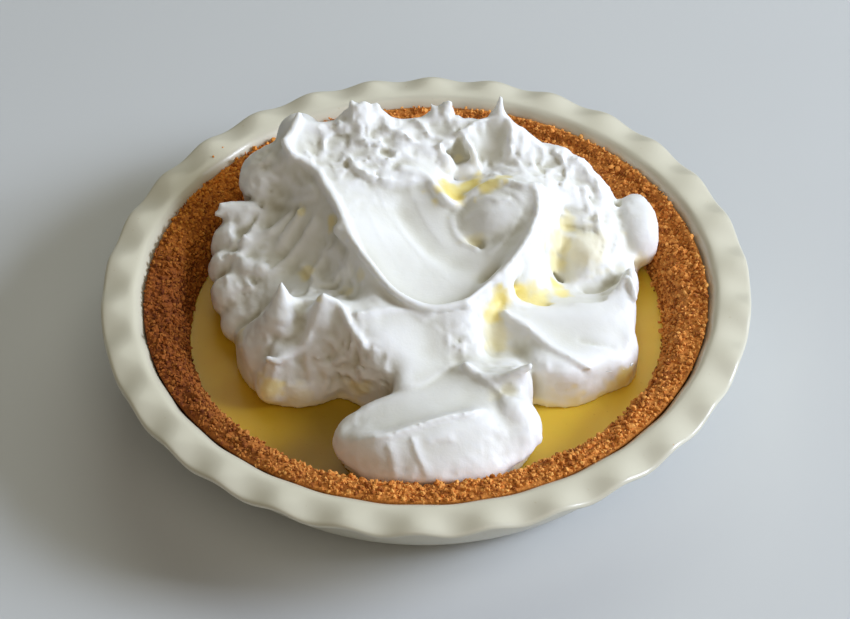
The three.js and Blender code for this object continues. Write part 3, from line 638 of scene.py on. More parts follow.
# the same where the photograph shows nothing to read, with points in mm
hiddenLines = {
    "rearSlopeLeft": (0, [(-84, 50, 38), (-68, 70, 40), (-44, 84, 42), (-16, 91, 42)]),
    "rearSlopeRight": (0, [(12, 92, 42), (40, 86, 42), (64, 72, 42), (84, 52, 38)]),
    "tongueFront": (0, [
        (-36, -92, 38), (-24, -99, 41), (-8, -103, 42), (8, -103, 42), (24, -99, 41), (37, -90, 38)
    ]),
}

# centre in the photograph and its height, radii, fillet
lobes = {
    "rearLeftLow": ((272, 181, 56), (14.5, 14, 14.5), 5),
    "rearLeftHigh": ((300, 140, 67), (10, 9, 13), 5),
    "right": ((637, 230, 37), (12, 17, 14), 3),
    "smallPeak": ((630, 286, 40), (3.5, 5, 9), 2),
    "cream": ((588, 246, 39), (13, 16, 12), 7),
    "leftEdge": ((229, 246, 42), (7.5, 7, 10), 2.5),
    "leftEdgeLow": ((225, 270, 38), (7, 6, 9), 2.5),
    "leftLow": ((236, 296, 35), (11, 9, 11), 2.5),
    "leftFoot": ((240, 324, 29), (8, 8, 8), 3),
    "frontLeftFoot": ((272, 386, 29), (7, 7, 8), 3),
    "frontFoot": ((308, 388, 28), (12, 5, 7), 3),
    "roughFoot": ((366, 366, 36), (11, 7, 11), 3),
    "curl": ((503, 219, 57.5), (14.5, 13, 10), 4),
    "foldLump": ((470, 174, 60), (8, 5, 6), 2),
    "foldLumpLeft": ((446, 168, 64), (4, 4, 6), 2),
    "knob": ((512, 412, 46), (7, 6, 6), 2),
}

# centre in mm, radii, fillet
hiddenLobes = {
    "rearLeftFoot": ((-38, 76, 42), (19, 13, 24), 5),
    "rearMiddleFoot": ((10, 82, 38), (22, 9, 22), 5),
    "rearRightFoot": ((52, 69, 38), (18, 13, 22), 5),
}

# fillet, then points of the centre line with a radius each
tips = {
    "tallPeak": (2, [(497, 122, 74, 4.5), (499, 111, 81, 2), (501, 97, 88, 0.6)]),
    "spikeLeft": (2, [(356, 122, 78, 6), (357, 110, 83, 3), (353, 104, 86, 1)]),
    "spikeMiddle": (2, [(366, 124, 78, 6), (364, 110, 84, 3), (362, 103, 86, 1)]),
    "spikeRight": (2, [(374, 124, 77, 4), (375, 112, 82, 2), (376, 104, 85, 0.8)]),
    "middleKnob": (2, [(446, 120, 76, 4), (446, 110, 81, 2.6), (449, 104, 84, 1.2)]),
    "middleSpike": (1.5, [(437, 120, 77, 3), (435, 111, 81, 1.4), (432, 105, 83, 0.6)]),
    "peakOne": (3, [(284, 320, 52, 8), (283, 303, 60, 4.2), (281, 283, 69, 0.7)]),
    "peakTwo": (3, [(325, 322, 53, 8), (324, 308, 61, 4), (323, 295, 68, 0.7)]),
    "leftWisp": (3, [(246, 212, 53, 4), (232, 207, 55, 2.2), (221, 205, 57, 0.6)]),
    "lowWisp": (3, [(240, 219, 52, 3.5), (228, 213, 53, 1.8), (217, 214, 54, 0.6)]),
    "tongueTip": (2, [(526, 430, 41, 3.4), (538, 439, 38, 1.6)]),
    "dollopTip": (2, [(250, 268, 47, 3.5), (262, 269, 50, 0.8)]),
    "crestRoot": (3, [(484, 294, 56, 3.5), (498, 283, 57.5, 4), (512, 269, 59, 4)]),
}

clefts = {
    "leftNotch": (3, [(266, 132, 84, 6), (279, 140, 79, 3)]),
    "rightLobe": (2, [(615, 190, 53, 2.6), (618, 215, 45, 1.8), (620, 240, 39, 1.8), (618, 268, 31, 2.6)]),
    "leftDollop": (2.5, [(228, 196, 52, 5), (252, 204, 52, 2.6)]),
    "rearNotch": (3, [(394, 114, 86, 5), (396, 124, 81, 3)]),
    "behindCurl": (1.5, [
        (438, 185, 62, 3), (450, 196, 56, 5), (466, 190, 54, 5.5), (484, 183, 57, 4), (503, 178, 62, 3)
    ]),
    "front": (1.5, [
        (488, 322, 45, 1.6), (494, 309, 47, 2.4), (506, 300, 49, 2.4), (524, 297, 48.5, 2.8),
        (545, 303, 47, 2)
    ]),
    "rightGap": (2, [(668, 282, 30, 9), (650, 280, 30, 8), (634, 272, 34, 4)]),
    "besideCream": (1.5, [(550, 273, 42, 1.5), (556, 283, 39, 2.6), (563, 293, 36, 2)]),
    "underLeftDollop": (2, [(220, 340, 36, 4), (233, 343, 38, 1.2)]),
    "underTongueLeft": (4, [(330, 450, 30, 8), (344, 471, 28, 7.5), (362, 488, 27, 6)]),
    "underTongueRight": (4, [(552, 452, 26, 9), (538, 470, 26, 9), (514, 484, 26, 8)]),
    "curlDimple": (1.5, [(470, 241, 59, 3.2), (478, 244, 58, 2.8)]),
}

# centre, radii, lean back about X in degrees, fillet
scoops = {
    "large": ((436, 232, 77), (36, 40, 18), 14, 3),
    "bowl": ((300, 309, 68), (6, 9, 13), 0, 1.5),
}

# creases and thin folds on the skin: height, width of the gentle side, points in the photograph
folds = {
    "streakA": (1.7, 3, [(262, 149), (258, 165), (262, 185), (266, 199)]),
    "streakB": (1.8, 3, [(272, 150), (268, 170), (271, 188), (278, 200)]),
    "streakC": (1.6, 3, [(284, 158), (282, 175), (290, 190), (298, 200)]),
    "streakD": (1.7, 3, [(250, 160), (247, 178), (253, 195)]),
    "streakE": (0.9, 3, [(296, 168), (302, 182), (314, 192)]),
    "streakF": (1.4, 3, [(302, 150), (310, 158), (314, 170), (326, 182)]),
    "streakG": (1.5, 3, [(245, 168), (252, 178), (264, 180), (276, 176), (286, 168)]),
    "streakH": (1.3, 3, [(262, 198), (276, 190), (290, 188), (304, 194), (318, 192)]),
    "facetA": (1.6, 5, [(300, 205), (296, 222), (288, 236), (282, 250)]),
    "facetB": (1.4, 5, [(318, 252), (330, 258), (342, 262), (350, 272)]),
    "lobeFoot": (2.6, 8, [(238, 188), (250, 199), (268, 203), (285, 206), (302, 204), (318, 199)]),
    "crestEdge": (1.3, 6, [(300, 160), (318, 180), (332, 202), (343, 225), (352, 245)]),
    "valleyA": (3.2, 8, [(272, 205), (260, 222), (250, 240), (240, 252)]),
    "valleyB": (2.4, 6, [(302, 210), (293, 222), (284, 236), (276, 252)]),
    "valleyC": (2.0, 8, [(316, 215), (302, 240), (286, 262), (268, 276)]),
    "valleyD": (1.2, 6, [(332, 238), (321, 260), (312, 275), (319, 290)]),
    "valleyLump": (3.0, 8, [(328, 254), (338, 266), (351, 280)]),
    "valleyCurl": (1.8, 5, [(298, 266), (308, 274), (312, 285), (306, 296)]),
    "valleyE": (1.1, 6, [(345, 255), (356, 272), (364, 290)]),
    "dollopA": (3.0, 6, [(216, 242), (226, 233), (240, 229), (254, 222)]),
    "dollopB": (2.7, 6, [(213, 262), (222, 253), (238, 249), (254, 246)]),
    "dollopC": (3.5, 7, [(264, 268), (250, 270), (238, 262), (226, 263)]),
    "dollopD": (3.0, 7, [(224, 300), (233, 314), (246, 320), (260, 308)]),
    "dollopE": (2.4, 6, [(228, 285), (240, 292), (254, 290)]),
    "peakA": (1.4, 5, [(277, 300), (272, 318), (267, 335), (264, 352)]),
    "peakB": (1.4, 5, [(291, 316), (284, 330), (275, 345), (271, 356)]),
    "peakC": (1.6, 6, [(297, 320), (305, 318), (313, 312), (318, 304)]),
    "peakD": (2.0, 7, [(322, 302), (316, 320), (310, 338), (301, 350)]),
    "peakE": (1.5, 5, [(331, 303), (334, 320), (339, 335), (343, 352)]),
    "peakF": (1.5, 4, [(341, 306), (347, 322), (355, 336)]),
    "lowerA": (1.8, 6, [(276, 362), (271, 375), (266, 388)]),
    "lowerB": (1.8, 6, [(291, 358), (289, 372), (286, 389)]),
    "lowerC": (1.8, 6, [(306, 356), (307, 370), (313, 389)]),
    "lowerD": (1.6, 6, [(322, 358), (326, 372), (331, 389)]),
    "lowerE": (1.6, 6, [(337, 358), (336, 370), (342, 384)]),
    "raggedA": (2.2, 5, [(338, 378), (349, 387), (361, 381), (372, 385)]),
    "raggedB": (1.6, 5, [(352, 362), (362, 368), (372, 362), (382, 372)]),
    "plateauLow": (0.7, 12, [(372, 374), (396, 386), (420, 386), (442, 373), (462, 359)]),
    "plateauSide": (0.5, 5, [(350, 352), (358, 344), (364, 330), (360, 318)]),
    "plateauFold": (0.6, 8, [(484, 353), (466, 346), (448, 337), (430, 322)]),
    "tongueEdge": (2.4, 9, [
        (350, 443), (380, 441), (402, 434), (430, 425), (452, 419), (470, 416), (487, 410)
    ]),
    "tongueRibA": (1.5, 5, [(386, 444), (391, 460), (392, 478)]),
    "tongueRibB": (1.5, 5, [(410, 438), (417, 458), (427, 477)]),
    "tongueEnd": (1.0, 6, [(341, 424), (338, 438), (346, 452), (360, 463)]),
    "tongueBump": (0.8, 5, [(425, 446), (440, 440), (456, 442)]),
    "hollowA": (1.2, 6, [(470, 373), (488, 385), (500, 396), (504, 408)]),
    "hollowB": (1.4, 5, [(498, 402), (512, 398), (524, 404), (530, 418)]),
    "frontEdge": (1.9, 10, [
        (507, 315), (528, 330), (548, 347), (575, 362), (600, 371), (622, 370), (636, 361)
    ]),
    "frontDent": (-0.9, 5, [(576, 341), (598, 345), (618, 350)]),
    "frontBack": (1.2, 6, [(624, 288), (612, 300), (592, 305), (568, 304)]),
    "frontSide": (1.5, 6, [(638, 364), (633, 348), (635, 322), (635, 302)]),
    "cornerFold": (1.8, 5, [(636, 370), (622, 380), (606, 388), (592, 390)]),
    "frontFaceA": (1.0, 6, [(530, 352), (545, 372), (556, 394)]),
    "frontFaceB": (1.0, 6, [(560, 372), (575, 385), (582, 400)]),
    "creamEdgeA": (1.7, 5, [(600, 215), (596, 232), (604, 246), (600, 263)]),
    "creamEdgeB": (1.4, 5, [(612, 226), (617, 245), (611, 262)]),
    "lobeA": (1.3, 6, [(620, 212), (632, 208), (646, 203)]),
    "lobeB": (1.4, 6, [(624, 263), (622, 245), (628, 225), (641, 209)]),
    "slopeA": (1.6, 6, [(548, 150), (560, 160), (566, 176), (560, 192)]),
    "slopeB": (1.6, 6, [(570, 160), (584, 170), (592, 186), (600, 200)]),
    "slopeC": (1.4, 5, [(530, 142), (542, 152), (540, 168)]),
    "slopeD": (1.4, 5, [(575, 190), (588, 196), (598, 206)]),
    "overhang": (3.2, 12, [(350, 156), (353, 170), (366, 180), (385, 187), (403, 187), (427, 181)]),
    "roughA": (1.9, 5, [(356, 150), (370, 146), (386, 150), (398, 160)]),
    "roughB": (1.9, 5, [(362, 168), (378, 163), (394, 166)]),
    "roughC": (1.6, 5, [(334, 128), (344, 134), (356, 130), (366, 136)]),
    "roughD": (1.6, 5, [(384, 128), (392, 136), (404, 138), (414, 150)]),
    "roughE": (1.4, 5, [(412, 122), (424, 130), (430, 144)]),
    "greyA": (0.8, 6, [(465, 128), (474, 140), (478, 154)]),
    "greyB": (0.8, 6, [(515, 124), (522, 138), (518, 152), (526, 166)]),
    "holeLump": (1.2, 4, [(452, 160), (462, 168), (476, 168), (490, 160)]),
    "curlA": (1.1, 5, [(470, 206), (486, 200), (500, 204), (512, 200)]),
    "curlB": (1.0, 4, [(462, 222), (478, 216), (494, 218)]),
    "curlC": (1.0, 4, [(500, 190), (512, 194), (524, 204)]),
    "rimFoot": (0.9, 6, [(488, 258), (502, 244), (514, 228), (520, 212)]),
    "scoopA": (0.3, 7, [(362, 200), (382, 240), (412, 276), (442, 296)]),
    "scoopB": (0.3, 6, [(386, 196), (405, 236), (432, 264), (458, 286)]),
    "scoopC": (0.3, 6, [(412, 194), (425, 222), (446, 250)]),
    "scoopD": (0.3, 6, [(374, 186), (392, 220), (420, 256), (452, 292)]),
}


def join(a, b, soften):
    t = np.clip(0.5 + 0.5 * (b - a) / soften, 0, 1)
    return b + (a - b) * t - soften * t * (1 - t)


def carve(a, b, soften):
    return -join(-a, b, soften)


class Sculpt:
    # values on a voxel grid: negative inside the foam
    def __init__(self, low, high, voxel):
        self.voxel = voxel
        self.low = np.array(low)
        self.axes = [np.arange(a, b + voxel / 2, voxel, dtype=np.float32) for a, b in zip(low, high)]
        self.values = np.full([len(a) for a in self.axes], 30.0, np.float32)

    def window(self, low, high):
        cut = [slice(max(0, int(np.searchsorted(a, l)) - 1), int(np.searchsorted(a, h)) + 1)
               for a, l, h in zip(self.axes, low, high)]
        grid = [self.axes[k][cut[k]].reshape([-1 if i == k else 1 for i in range(3)]) for k in range(3)]
        return tuple(cut), grid

    def ellipsoid(self, centre, radii, lean, blend, soften):
        margin = max(radii) + 3 * soften + 4
        cut, (x, y, z) = self.window(np.array(centre) - margin, np.array(centre) + margin)
        c, s = math.cos(math.radians(lean)), math.sin(math.radians(lean))
        x, y, z = x - centre[0], y - centre[1], z - centre[2]
        local = (x, c * y + s * z, c * z - s * y)
        near = np.sqrt(sum((v / r) ** 2 for v, r in zip(local, radii))) + 1e-6
        steep = np.sqrt(sum((v / r ** 2) ** 2 for v, r in zip(local, radii))) + 1e-6
        self.values[cut] = blend(self.values[cut], near * (near - 1) / steep, soften)

    def chain(self, points, blend, soften):
        beads = curveThrough(points, 5)
        margin = beads[:, 3].max() + 3 * soften + 4
        cut, (x, y, z) = self.window(beads[:, :3].min(0) - margin, beads[:, :3].max(0) + margin)
        nearest = None
        for a, b in zip(beads, beads[1:]):
            along = (b - a)[:3]
            dx, dy, dz = x - a[0], y - a[1], z - a[2]
            t = np.clip((dx * along[0] + dy * along[1] + dz * along[2]) / (along @ along + 1e-9), 0, 1)
            away = np.sqrt((dx - t * along[0]) ** 2 + (dy - t * along[1]) ** 2 + (dz - t * along[2]) ** 2)
            away = away - a[3] - (b[3] - a[3]) * t
            nearest = away if nearest is None else np.minimum(nearest, away)
        self.values[cut] = blend(self.values[cut], nearest, soften)


def placedPath(points):
    # any radius after the height stays as it is
    return [(*placed(*p[:3]), *p[3:]) for p in points]


def relaxedSkin(ridges):
    # heights relaxed between the ridges on a square grid
    step, reach = heap["skinStep"], heap["skinReach"]
    count = int(2 * reach / step) + 1
    total = np.zeros((count, count))
    hits = np.zeros((count, count))
    crest = np.zeros((count, count), bool)
    for lip, points in ridges:
        path = curveThrough(points, 12)
        for a, b in zip(path, path[1:]):
            for t in np.linspace(0, 1, int(np.linalg.norm(b - a) / step * 2) + 2):
                p = a + (b - a) * t
                cell = (round((p[0] + reach) / step), round((p[1] + reach) / step))
                total[cell] += p[2]
                hits[cell] += 1
                crest[cell] |= lip > 0
    pinned = hits > 0
    skin = np.where(pinned, total / np.maximum(hits, 1), 30.0)
    i, j = np.indices(skin.shape)
    colours = [((i + j) % 2 == k) & ~pinned for k in (0, 1)]
    for sweep in range(heap["sweeps"]):
        for colour in colours:
            skin[colour] += heap["overshoot"] * (neighbourMean(skin) - skin)[colour]
    for sweep in range(heap["softening"]):
        skin[~crest] = neighbourMean(skin)[~crest]
    return skin


def neighbourMean(grid):
    wide = np.pad(grid, 1, mode="edge")
    return (wide[:-2, 1:-1] + wide[2:, 1:-1] + wide[1:-1, :-2] + wide[1:-1, 2:]) / 4


def skinAt(skin, x, y):
    # the skin's height at places that may lie between its grid points
    u, v = [np.clip((w + heap["skinReach"]) / heap["skinStep"], 0, len(skin) - 1.001) for w in (x, y)]
    i, j = u.astype(int), v.astype(int)
    s, t = u - i, v - j
    near = skin[i, j] * (1 - s) + skin[i + 1, j] * s
    far = skin[i, j + 1] * (1 - s) + skin[i + 1, j + 1] * s
    return near * (1 - t) + far * t


def sightPlaces(across, down):
    # heights from the heap's top to its base, and where the view through a point passes each
    eye, way = sightLine(across, down)
    heights = np.arange(heap["high"][2], heap["base"], -heap["sightStep"])
    return heights, eye + way * ((heights - eye[2]) / way[2])[:, None]


def seenOnSkin(skin, across, down):
    # the first place on the skin that the photograph's camera sees through a point
    heights, places = sightPlaces(across, down)
    reached = skinAt(skin, places[:, 0], places[:, 1]) >= heights
    return tuple(places[np.argmax(reached) if reached.any() else -1][:2])


def addFolds(skin, sculpt, height):
    # each fold rises slowly on its gentle side and drops within a voxel or two on the other
    for rise, width, points in folds.values():
        path = curveThrough([seenOnSkin(skin, *p) for p in points], 5)
        low, high = path.min(0) - width - 1, path.max(0) + width + 1
        (i0, i1), (j0, j1) = [np.searchsorted(a, (l, h)) for a, l, h in zip(sculpt.axes, low, high)]
        x, y = sculpt.axes[0][i0:i1, None], sculpt.axes[1][None, j0:j1]
        nearest = np.full((i1 - i0, j1 - j0), 1e9)
        gentle = np.zeros(nearest.shape, bool)
        along = np.zeros(nearest.shape)
        for k, (a, b) in enumerate(zip(path, path[1:])):
            dx, dy = b - a
            t = np.clip(((x - a[0]) * dx + (y - a[1]) * dy) / (dx * dx + dy * dy + 1e-9), 0, 1)
            away = np.hypot(x - a[0] - t * dx, y - a[1] - t * dy)
            closer = away < nearest
            nearest = np.where(closer, away, nearest)
            gentle = np.where(closer, dx * (y - a[1]) - dy * (x - a[0]) >= 0, gentle)
            along = np.where(closer, (k + t) / (len(path) - 1), along)
        taper = np.clip(np.minimum(along, 1 - along) * 5, 0, 1)
        reach = np.where(gentle, width, max(1.1, 0.7 * abs(rise)))
        height[i0:i1, j0:j1] += rise * taper * (2 - taper) * np.clip(1 - nearest / reach, 0, 1) ** 2


def footprintValue(sculpt):
    x, y = sculpt.axes[0][:, None], sculpt.axes[1][None, :]
    value = None
    for (cx, cy), (rx, ry), turn in footprints.values():
        c, s = math.cos(math.radians(turn)), math.sin(math.radians(turn))
        u = (c * (x - cx) + s * (y - cy)) / rx
        v = (c * (y - cy) - s * (x - cx)) / ry
        near = np.hypot(u, v) + 1e-6
        distance = near * (near - 1) / (np.hypot(u / rx, v / ry) + 1e-6)
        value = distance if value is None else join(value, distance, 5)
    return value


def cornerBlend(values, cell, f):
    # the values at the eight corners of each cell, blended; past their end the values repeat
    value = 0.0
    for corner in np.ndindex(2, 2, 2):
        weight = np.prod(np.where(np.array(corner) == 1, f, 1 - f), axis=1)
        value = value + weight * values[tuple(((cell + corner) % values.shape).T)]
    return value


class Lattice:
    # smooth random values in space, the same for the same seed
    def __init__(self, seed):
        self.table = np.random.default_rng(seed).uniform(-1, 1, (32, 32, 32))

    def at(self, points, size):
        p = points / size
        cell = np.floor(p).astype(int)
        f = p - cell
        return cornerBlend(self.table, cell, f * f * (3 - 2 * f))


# places where the foam is torn and rough, or quite smooth: centre, radius, change of roughness
roughZones = [
    ((-25, 55, 76), 26, 1.0), ((8, 64, 74), 20, 0.55), ((-34, -42, 42), 17, 0.9), ((-36, -8, 50), 15, 0.6),
    ((66, 45, 58), 28, 0.7), ((-76, 20, 44), 26, 0.5), ((34, 56, 66), 18, 0.55), ((16, -38, 54), 10, 0.5),
    ((-24, -46, 46), 14, 0.9), ((-58, -22, 44), 20, 0.5), ((-68, 56, 60), 19, 0.55),
    ((29, 63, 73), 11, -0.9), ((14, 58, 66), 8, -0.7), ((30, -52, 50), 10, 0.3), ((72, 2, 42), 14, 0.3),
    ((0, 0, 60), 36, -0.6), ((-8, -40, 50), 18, -0.5), ((62, -28, 48), 24, -0.6), ((0, -76, 50), 30, -0.35),
]


surface = {
    "depth": (2.0, 3.5),           # the relief is full to the first depth and gone at the second
    "plain": 0.22,
    "limits": (0.03, 1.2),
    "bend": 3.5,
    "bendSize": 11.0,
    "broadSize": 13.0,
    "foldSize": 6.5,
    "smallSize": 3.2,
    "gritSize": 1.7,
}


def roughnessAt(points, plain, inner, outer):
    # the plain roughness, changed in each zone and faded out between two shares of its radius
    rough = np.full(len(points), plain)
    for centre, radius, change in roughZones:
        away = np.linalg.norm(points - np.array(centre), axis=1)
        rough = rough + change * (1 - smoothStep(away, inner * radius, outer * radius))
    return rough


def weather(sculpt):
    # folds, tears and small pits on the surface
    near = np.abs(sculpt.values) < surface["depth"][1]
    index = np.nonzero(near)
    points = np.stack([a[i] for a, i in zip(sculpt.axes, index)], axis=1).astype(float)
    rough = np.clip(roughnessAt(points, surface["plain"], 0.55, 1.0), *surface["limits"])
    lattice = Lattice(heap["seed"])
    bend = np.stack([lattice.at(points + k * 37.0, surface["bendSize"]) for k in range(3)], axis=1)
    bent = points + surface["bend"] * bend
    broad = 0.7 * lattice.at(bent, surface["broadSize"])
    folds = 1.0 - 2.0 * np.abs(lattice.at(bent * (1.0, 1.0, 0.6), surface["foldSize"]))
    small = 1.0 - 2.0 * np.abs(lattice.at(bent + 11.0, surface["smallSize"]))
    grit = lattice.at(points, surface["gritSize"])
    change = broad * (0.35 + rough) + rough * (1.1 * folds + 0.75 * small + 0.3 * grit)
    values = sculpt.values[near]
    sculpt.values[near] = values - change * (1 - smoothStep(np.abs(values), *surface["depth"]))


def sculptHeap():
    sculpt = Sculpt(heap["low"], heap["high"], heap["voxel"])
    ridges = [(lip, placedPath(points)) for lip, points in spoonLines.values()] + list(hiddenLines.values())
    skin = relaxedSkin(ridges)
    height = skinAt(skin, *np.meshgrid(sculpt.axes[0], sculpt.axes[1], indexing="ij"))
    addFolds(skin, sculpt, height)
    slopeX, slopeY = np.gradient(height, heap["voxel"])
    flatness = np.maximum(1 / np.sqrt(1 + slopeX ** 2 + slopeY ** 2), 0.3)
    z = sculpt.axes[2][None, None, :]
    below = (z - height[:, :, None]) * flatness[:, :, None]
    sculpt.values[:] = carve(below, -footprintValue(sculpt)[:, :, None], heap["rounding"])
    for centre, radii, soften in lobes.values():
        sculpt.ellipsoid(placed(*centre), radii, 0, join, soften)
    for centre, radii, soften in hiddenLobes.values():
        sculpt.ellipsoid(centre, radii, 0, join, soften)
    for soften, points in clefts.values():
        sculpt.chain(placedPath(points), carve, soften)
    for centre, radii, lean, soften in scoops.values():
        sculpt.ellipsoid(placed(*centre), radii, lean, carve, soften)
    for lip, points in ridges:
        if lip:
            sculpt.chain([(*p, lip) for p in points], join, 2.0)
    for soften, points in tips.values():
        sculpt.chain(placedPath(points), join, soften)
    weather(sculpt)
    x, y = sculpt.axes[0][:, None, None], sculpt.axes[1][None, :, None]
    insideCrust = heap["crustRadius"] + (z - heap["base"]) * heap["crustSlope"] - np.sqrt(x * x + y * y)
    sculpt.values[:] = np.maximum(sculpt.values, -insideCrust)
    sculpt.values[:] = np.maximum(sculpt.values, heap["base"] - z)
    return sculpt


def meshFromSculpt(name, sculpt):
    band = 3 * sculpt.voxel
    grid = openvdb.FloatGrid(band)
    grid.copyFromArray(np.clip(sculpt.values, -band, band), tolerance=0)
    points, quads = grid.convertToQuads(0.0)
    bm = bmesh.new()
    mesh = bpy.data.meshes.new(name)
    mesh.from_pydata(((points * sculpt.voxel + sculpt.low) * mm).tolist(), [], quads.tolist())
    bm.from_mesh(mesh)
    bmesh.ops.remove_doubles(bm, verts=bm.verts, dist=0.00002)
    bmesh.ops.recalc_face_normals(bm, faces=bm.faces)
    bm.to_mesh(mesh)
    bm.free()
    mesh.shade_smooth()
    return mesh


# where lemon curd shows on the foam: a point in the photograph, radius in mm, strength
curdSpots = [
    ((452, 190), 8, 1.0), ((470, 186), 9, 1.0), ((488, 181), 7, 0.9), ((503, 177), 5, 0.7),
    ((475, 241), 5, 0.25), ((490, 316), 4, 0.9), ((500, 300), 7, 0.95), ((518, 293), 8, 1.0),
    ((538, 300), 7, 0.9), ((497, 335), 9, 0.4), ((555, 282), 5, 1.0), ((563, 294), 5, 0.9),
    ((566, 225), 6, 0.55), ((562, 245), 8, 0.5), ((556, 262), 7, 0.6), ((585, 248), 15, 0.32),
    ((600, 396), 6, 0.9), ((625, 378), 7, 0.95), ((612, 388), 6, 0.7), ((575, 402), 6, 0.5),
    ((301, 211), 4, 0.6), ((331, 220), 4, 0.6), ((307, 271), 5, 0.5), ((362, 275), 4, 0.3),
    ((349, 291), 4, 0.35), ((317, 299), 3, 0.5), ((269, 389), 7, 0.7), ((357, 388), 7, 0.5),
    ((300, 398), 8, 0.3), ((560, 240), 8, 0.4), ((238, 335), 7, 0.4), ((530, 375), 3, 0.2),
    ((508, 392), 6, 0.2), ((640, 262), 6, 0.5), ((457, 158), 3, 0.3),
]


def boxMean(values, axis, reach):
    edges = [(0, 0)] * 3
    edges[axis] = (reach + 1, reach)
    total = np.cumsum(np.pad(values, edges, mode="edge"), axis=axis)
    ahead, behind = [slice(None)] * 3, [slice(None)] * 3
    ahead[axis], behind[axis] = slice(2 * reach + 1, None), slice(0, -2 * reach - 1)
    return (total[tuple(ahead)] - total[tuple(behind)]) / (2 * reach + 1)


def paint(mesh, name, values):
    layer = mesh.attributes.new(name, "FLOAT", "POINT")
    layer.data.foreach_set("value", values.astype(np.float32))


def paintTorn(mesh):
    # how rough the foam is
    places = vertexPlaces(mesh)
    paint(mesh, "torn", np.clip(roughnessAt(places, 0.2, 0.5, 1.1), 0, 1))


def paintCrease(mesh, sculpt):
    # 0 deep in a crease and 1 on a crest, read from how far the shape stands out of its blurred self; the
    # foam's colour uses it for painted shade in creases and painted light on crests
    depth = np.clip(sculpt.values, -6, 6)
    blurred = depth
    reach = round(heap["creaseReach"] / sculpt.voxel)
    for axis in (0, 1, 2, 0, 1, 2):
        blurred = boxMean(blurred, axis, reach)
    places = (vertexPlaces(mesh) - sculpt.low) / sculpt.voxel
    cell = np.clip(places.astype(int), 0, np.array(depth.shape) - 2)
    paint(mesh, "crease", np.clip(0.5 + 0.35 * cornerBlend(blurred - depth, cell, places - cell), 0, 1))


def seenOnFoam(sculpt, across, down):
    # the first place on the foam that the photograph's camera sees through a point
    places = sightPlaces(across, down)[1]
    last = np.array(sculpt.values.shape) - 1
    cells = np.clip(np.rint((places - sculpt.low) / sculpt.voxel).astype(int), 0, last)
    inside = sculpt.values[tuple(cells.T)] < 0
    return places[np.argmax(inside) if inside.any() else -1]


def paintCurd(mesh, sculpt):
    # lemon curd that shows in spots and along the foot
    places = vertexPlaces(mesh)
    lattice = Lattice(heap["seed"] + 1)
    ragged = 1 + 0.5 * lattice.at(places, 5.0) + 0.3 * lattice.at(places, 2.2)
    shade = np.zeros(len(places))
    for seen, radius, strength in curdSpots:
        away = np.linalg.norm(places - seenOnFoam(sculpt, *seen), axis=1) * ragged
        shade = np.maximum(shade, strength * (1 - smoothStep(away, 0.35 * radius, radius)))
    foot = 1 - smoothStep(places[:, 2] + 2.5 * lattice.at(places, 6.0), 22.5, 28.0)
    paint(mesh, "curd", np.maximum(shade, 0.45 * foot))


def foamMaterial():
    foam = Shader("whippedFoam", Roughness=0.5, Subsurface_Weight=0.35, Subsurface_Scale=0.0025,
                  Subsurface_Radius=(1.0, 0.95, 0.85), Coat_Weight=0.08, Coat_Roughness=0.3,
                  Specular_IOR_Level=0.35)
    tone = foam.ramp(foam.noise(45.0, 3.0), [(0.3, (0.95, 0.945, 0.93)), (0.7, (1.0, 1.0, 1.0))])
    # painted shade and painted light: creases are coloured darker and yellower, crests lighter
    depth = foam.ramp(foam.painted("crease"), [
        (0.15, (0.58, 0.56, 0.46)), (0.42, (0.8, 0.8, 0.76)), (0.6, (0.885, 0.89, 0.895)),
        (0.9, (0.92, 0.93, 0.94))
    ])
    tone = foam.mix(1.0, depth, tone, "MULTIPLY")
    yellow = foam.ramp(foam.noise(80.0, 3.0), [(0.3, (0.86, 0.68, 0.16)), (0.7, (0.92, 0.82, 0.38))])
    foam.feed("Base Color", foam.mix(foam.painted("curd"), tone, yellow))
    foam.bump(foam.noise(170.0, 4.0, 0.6, 0.5), 0.14, 0.0012)
    crags = foam.noise(95.0, 4.0, 0.6, 0.8, noise_type="RIDGED_MULTIFRACTAL")
    foam.bump(foam.mix(1.0, crags, foam.painted("torn"), "MULTIPLY"), 0.6, 0.0014)
    foam.bump(foam.noise(900.0, 3.0), 0.15, 0.0003)
    return foam.material


heapSculpt = sculptHeap()
heapMesh = meshFromSculpt("meringueHeap", heapSculpt)
paintCurd(heapMesh, heapSculpt)
paintTorn(heapMesh)
paintCrease(heapMesh, heapSculpt)
addPiece("meringueHeap", heapMesh, foamMaterial(), "meringue")
print("meringue made:", len(heapMesh.polygons), "faces")


# floor, light and camera

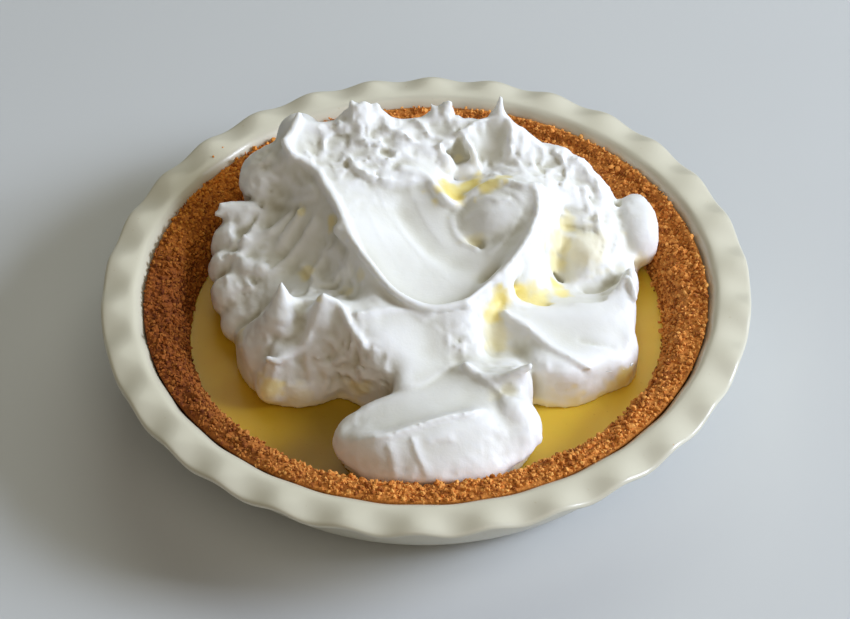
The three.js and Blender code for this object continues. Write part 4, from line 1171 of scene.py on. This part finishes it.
stage = {
    "floorSize": 6.0,
    "floorColor": (0.6, 0.62, 0.64),
    "skyColor": (1.0, 0.93, 0.8),
    "skyStrength": 0.05,
    "lampsAimAt": (0, 0, 0.04),
    # place and size in metres, power in watts, color
    "lamps": {
        "key": ((2.27, -0.12, 1.26), 1.0, 79.0, (0.78, 0.86, 1.0)),
        "front": ((0.0, -1.67, 1.99), 2.4, 19.5, (0.96, 0.85, 0.67)),
        "back": ((0.63, 1.73, 1.84), 2.2, 20.0, (0.97, 1.0, 0.86)),
    },
}


def makeFloor():
    bm = bmesh.new()
    bmesh.ops.create_grid(bm, x_segments=1, y_segments=1, size=stage["floorSize"] / 2)
    mesh = bpy.data.meshes.new("floor")
    bm.to_mesh(mesh)
    bm.free()
    paint = Shader("paleFloor", Roughness=0.55)
    low = stage["floorColor"]
    high = tuple(c * 1.04 for c in low)
    paint.feed("Base Color", paint.ramp(paint.noise(3.0), [(0.3, low), (0.7, high)]))
    mesh.materials.append(paint.material)
    floor = bpy.data.objects.new("floor", mesh)
    bpy.context.scene.collection.objects.link(floor)


def makeLight():
    sky = bpy.data.worlds.new("softSky")
    bpy.context.scene.world = sky
    sky.use_nodes = True
    background = sky.node_tree.nodes["Background"]
    background.inputs["Color"].default_value = (*stage["skyColor"], 1.0)
    background.inputs["Strength"].default_value = stage["skyStrength"]
    for name, (place, size, power, color) in stage["lamps"].items():
        lamp = bpy.data.lights.new(name, "AREA")
        lamp.shape = "SQUARE"
        lamp.size = size
        lamp.energy = power
        lamp.color = color
        light = bpy.data.objects.new(name, lamp)
        bpy.context.scene.collection.objects.link(light)
        light.location = place
        aim = Vector(stage["lampsAimAt"]) - light.location
        light.rotation_euler = aim.to_track_quat("-Z", "Y").to_euler()


def makeCamera():
    camera = bpy.data.objects.new("camera", bpy.data.cameras.new("camera"))
    bpy.context.scene.collection.objects.link(camera)
    bpy.context.scene.camera = camera
    camera.data.lens = cameraView["lens"]
    camera.data.sensor_width = cameraView["sensor"]
    tilt = math.pi / 2 - cameraView["elevation"]
    turn = Matrix.Rotation(tilt, 4, "X") @ Matrix.Rotation(cameraView["roll"], 4, "Z")
    back = turn @ Vector((0, 0, 1))
    place = (Vector(cameraView["target"]) + back * cameraView["distance"]) * mm
    camera.matrix_world = Matrix.Translation(place) @ turn


bpy.context.scene.view_settings.view_transform = "Standard"
makeFloor()
makeLight()
makeCamera()
print("stage set")
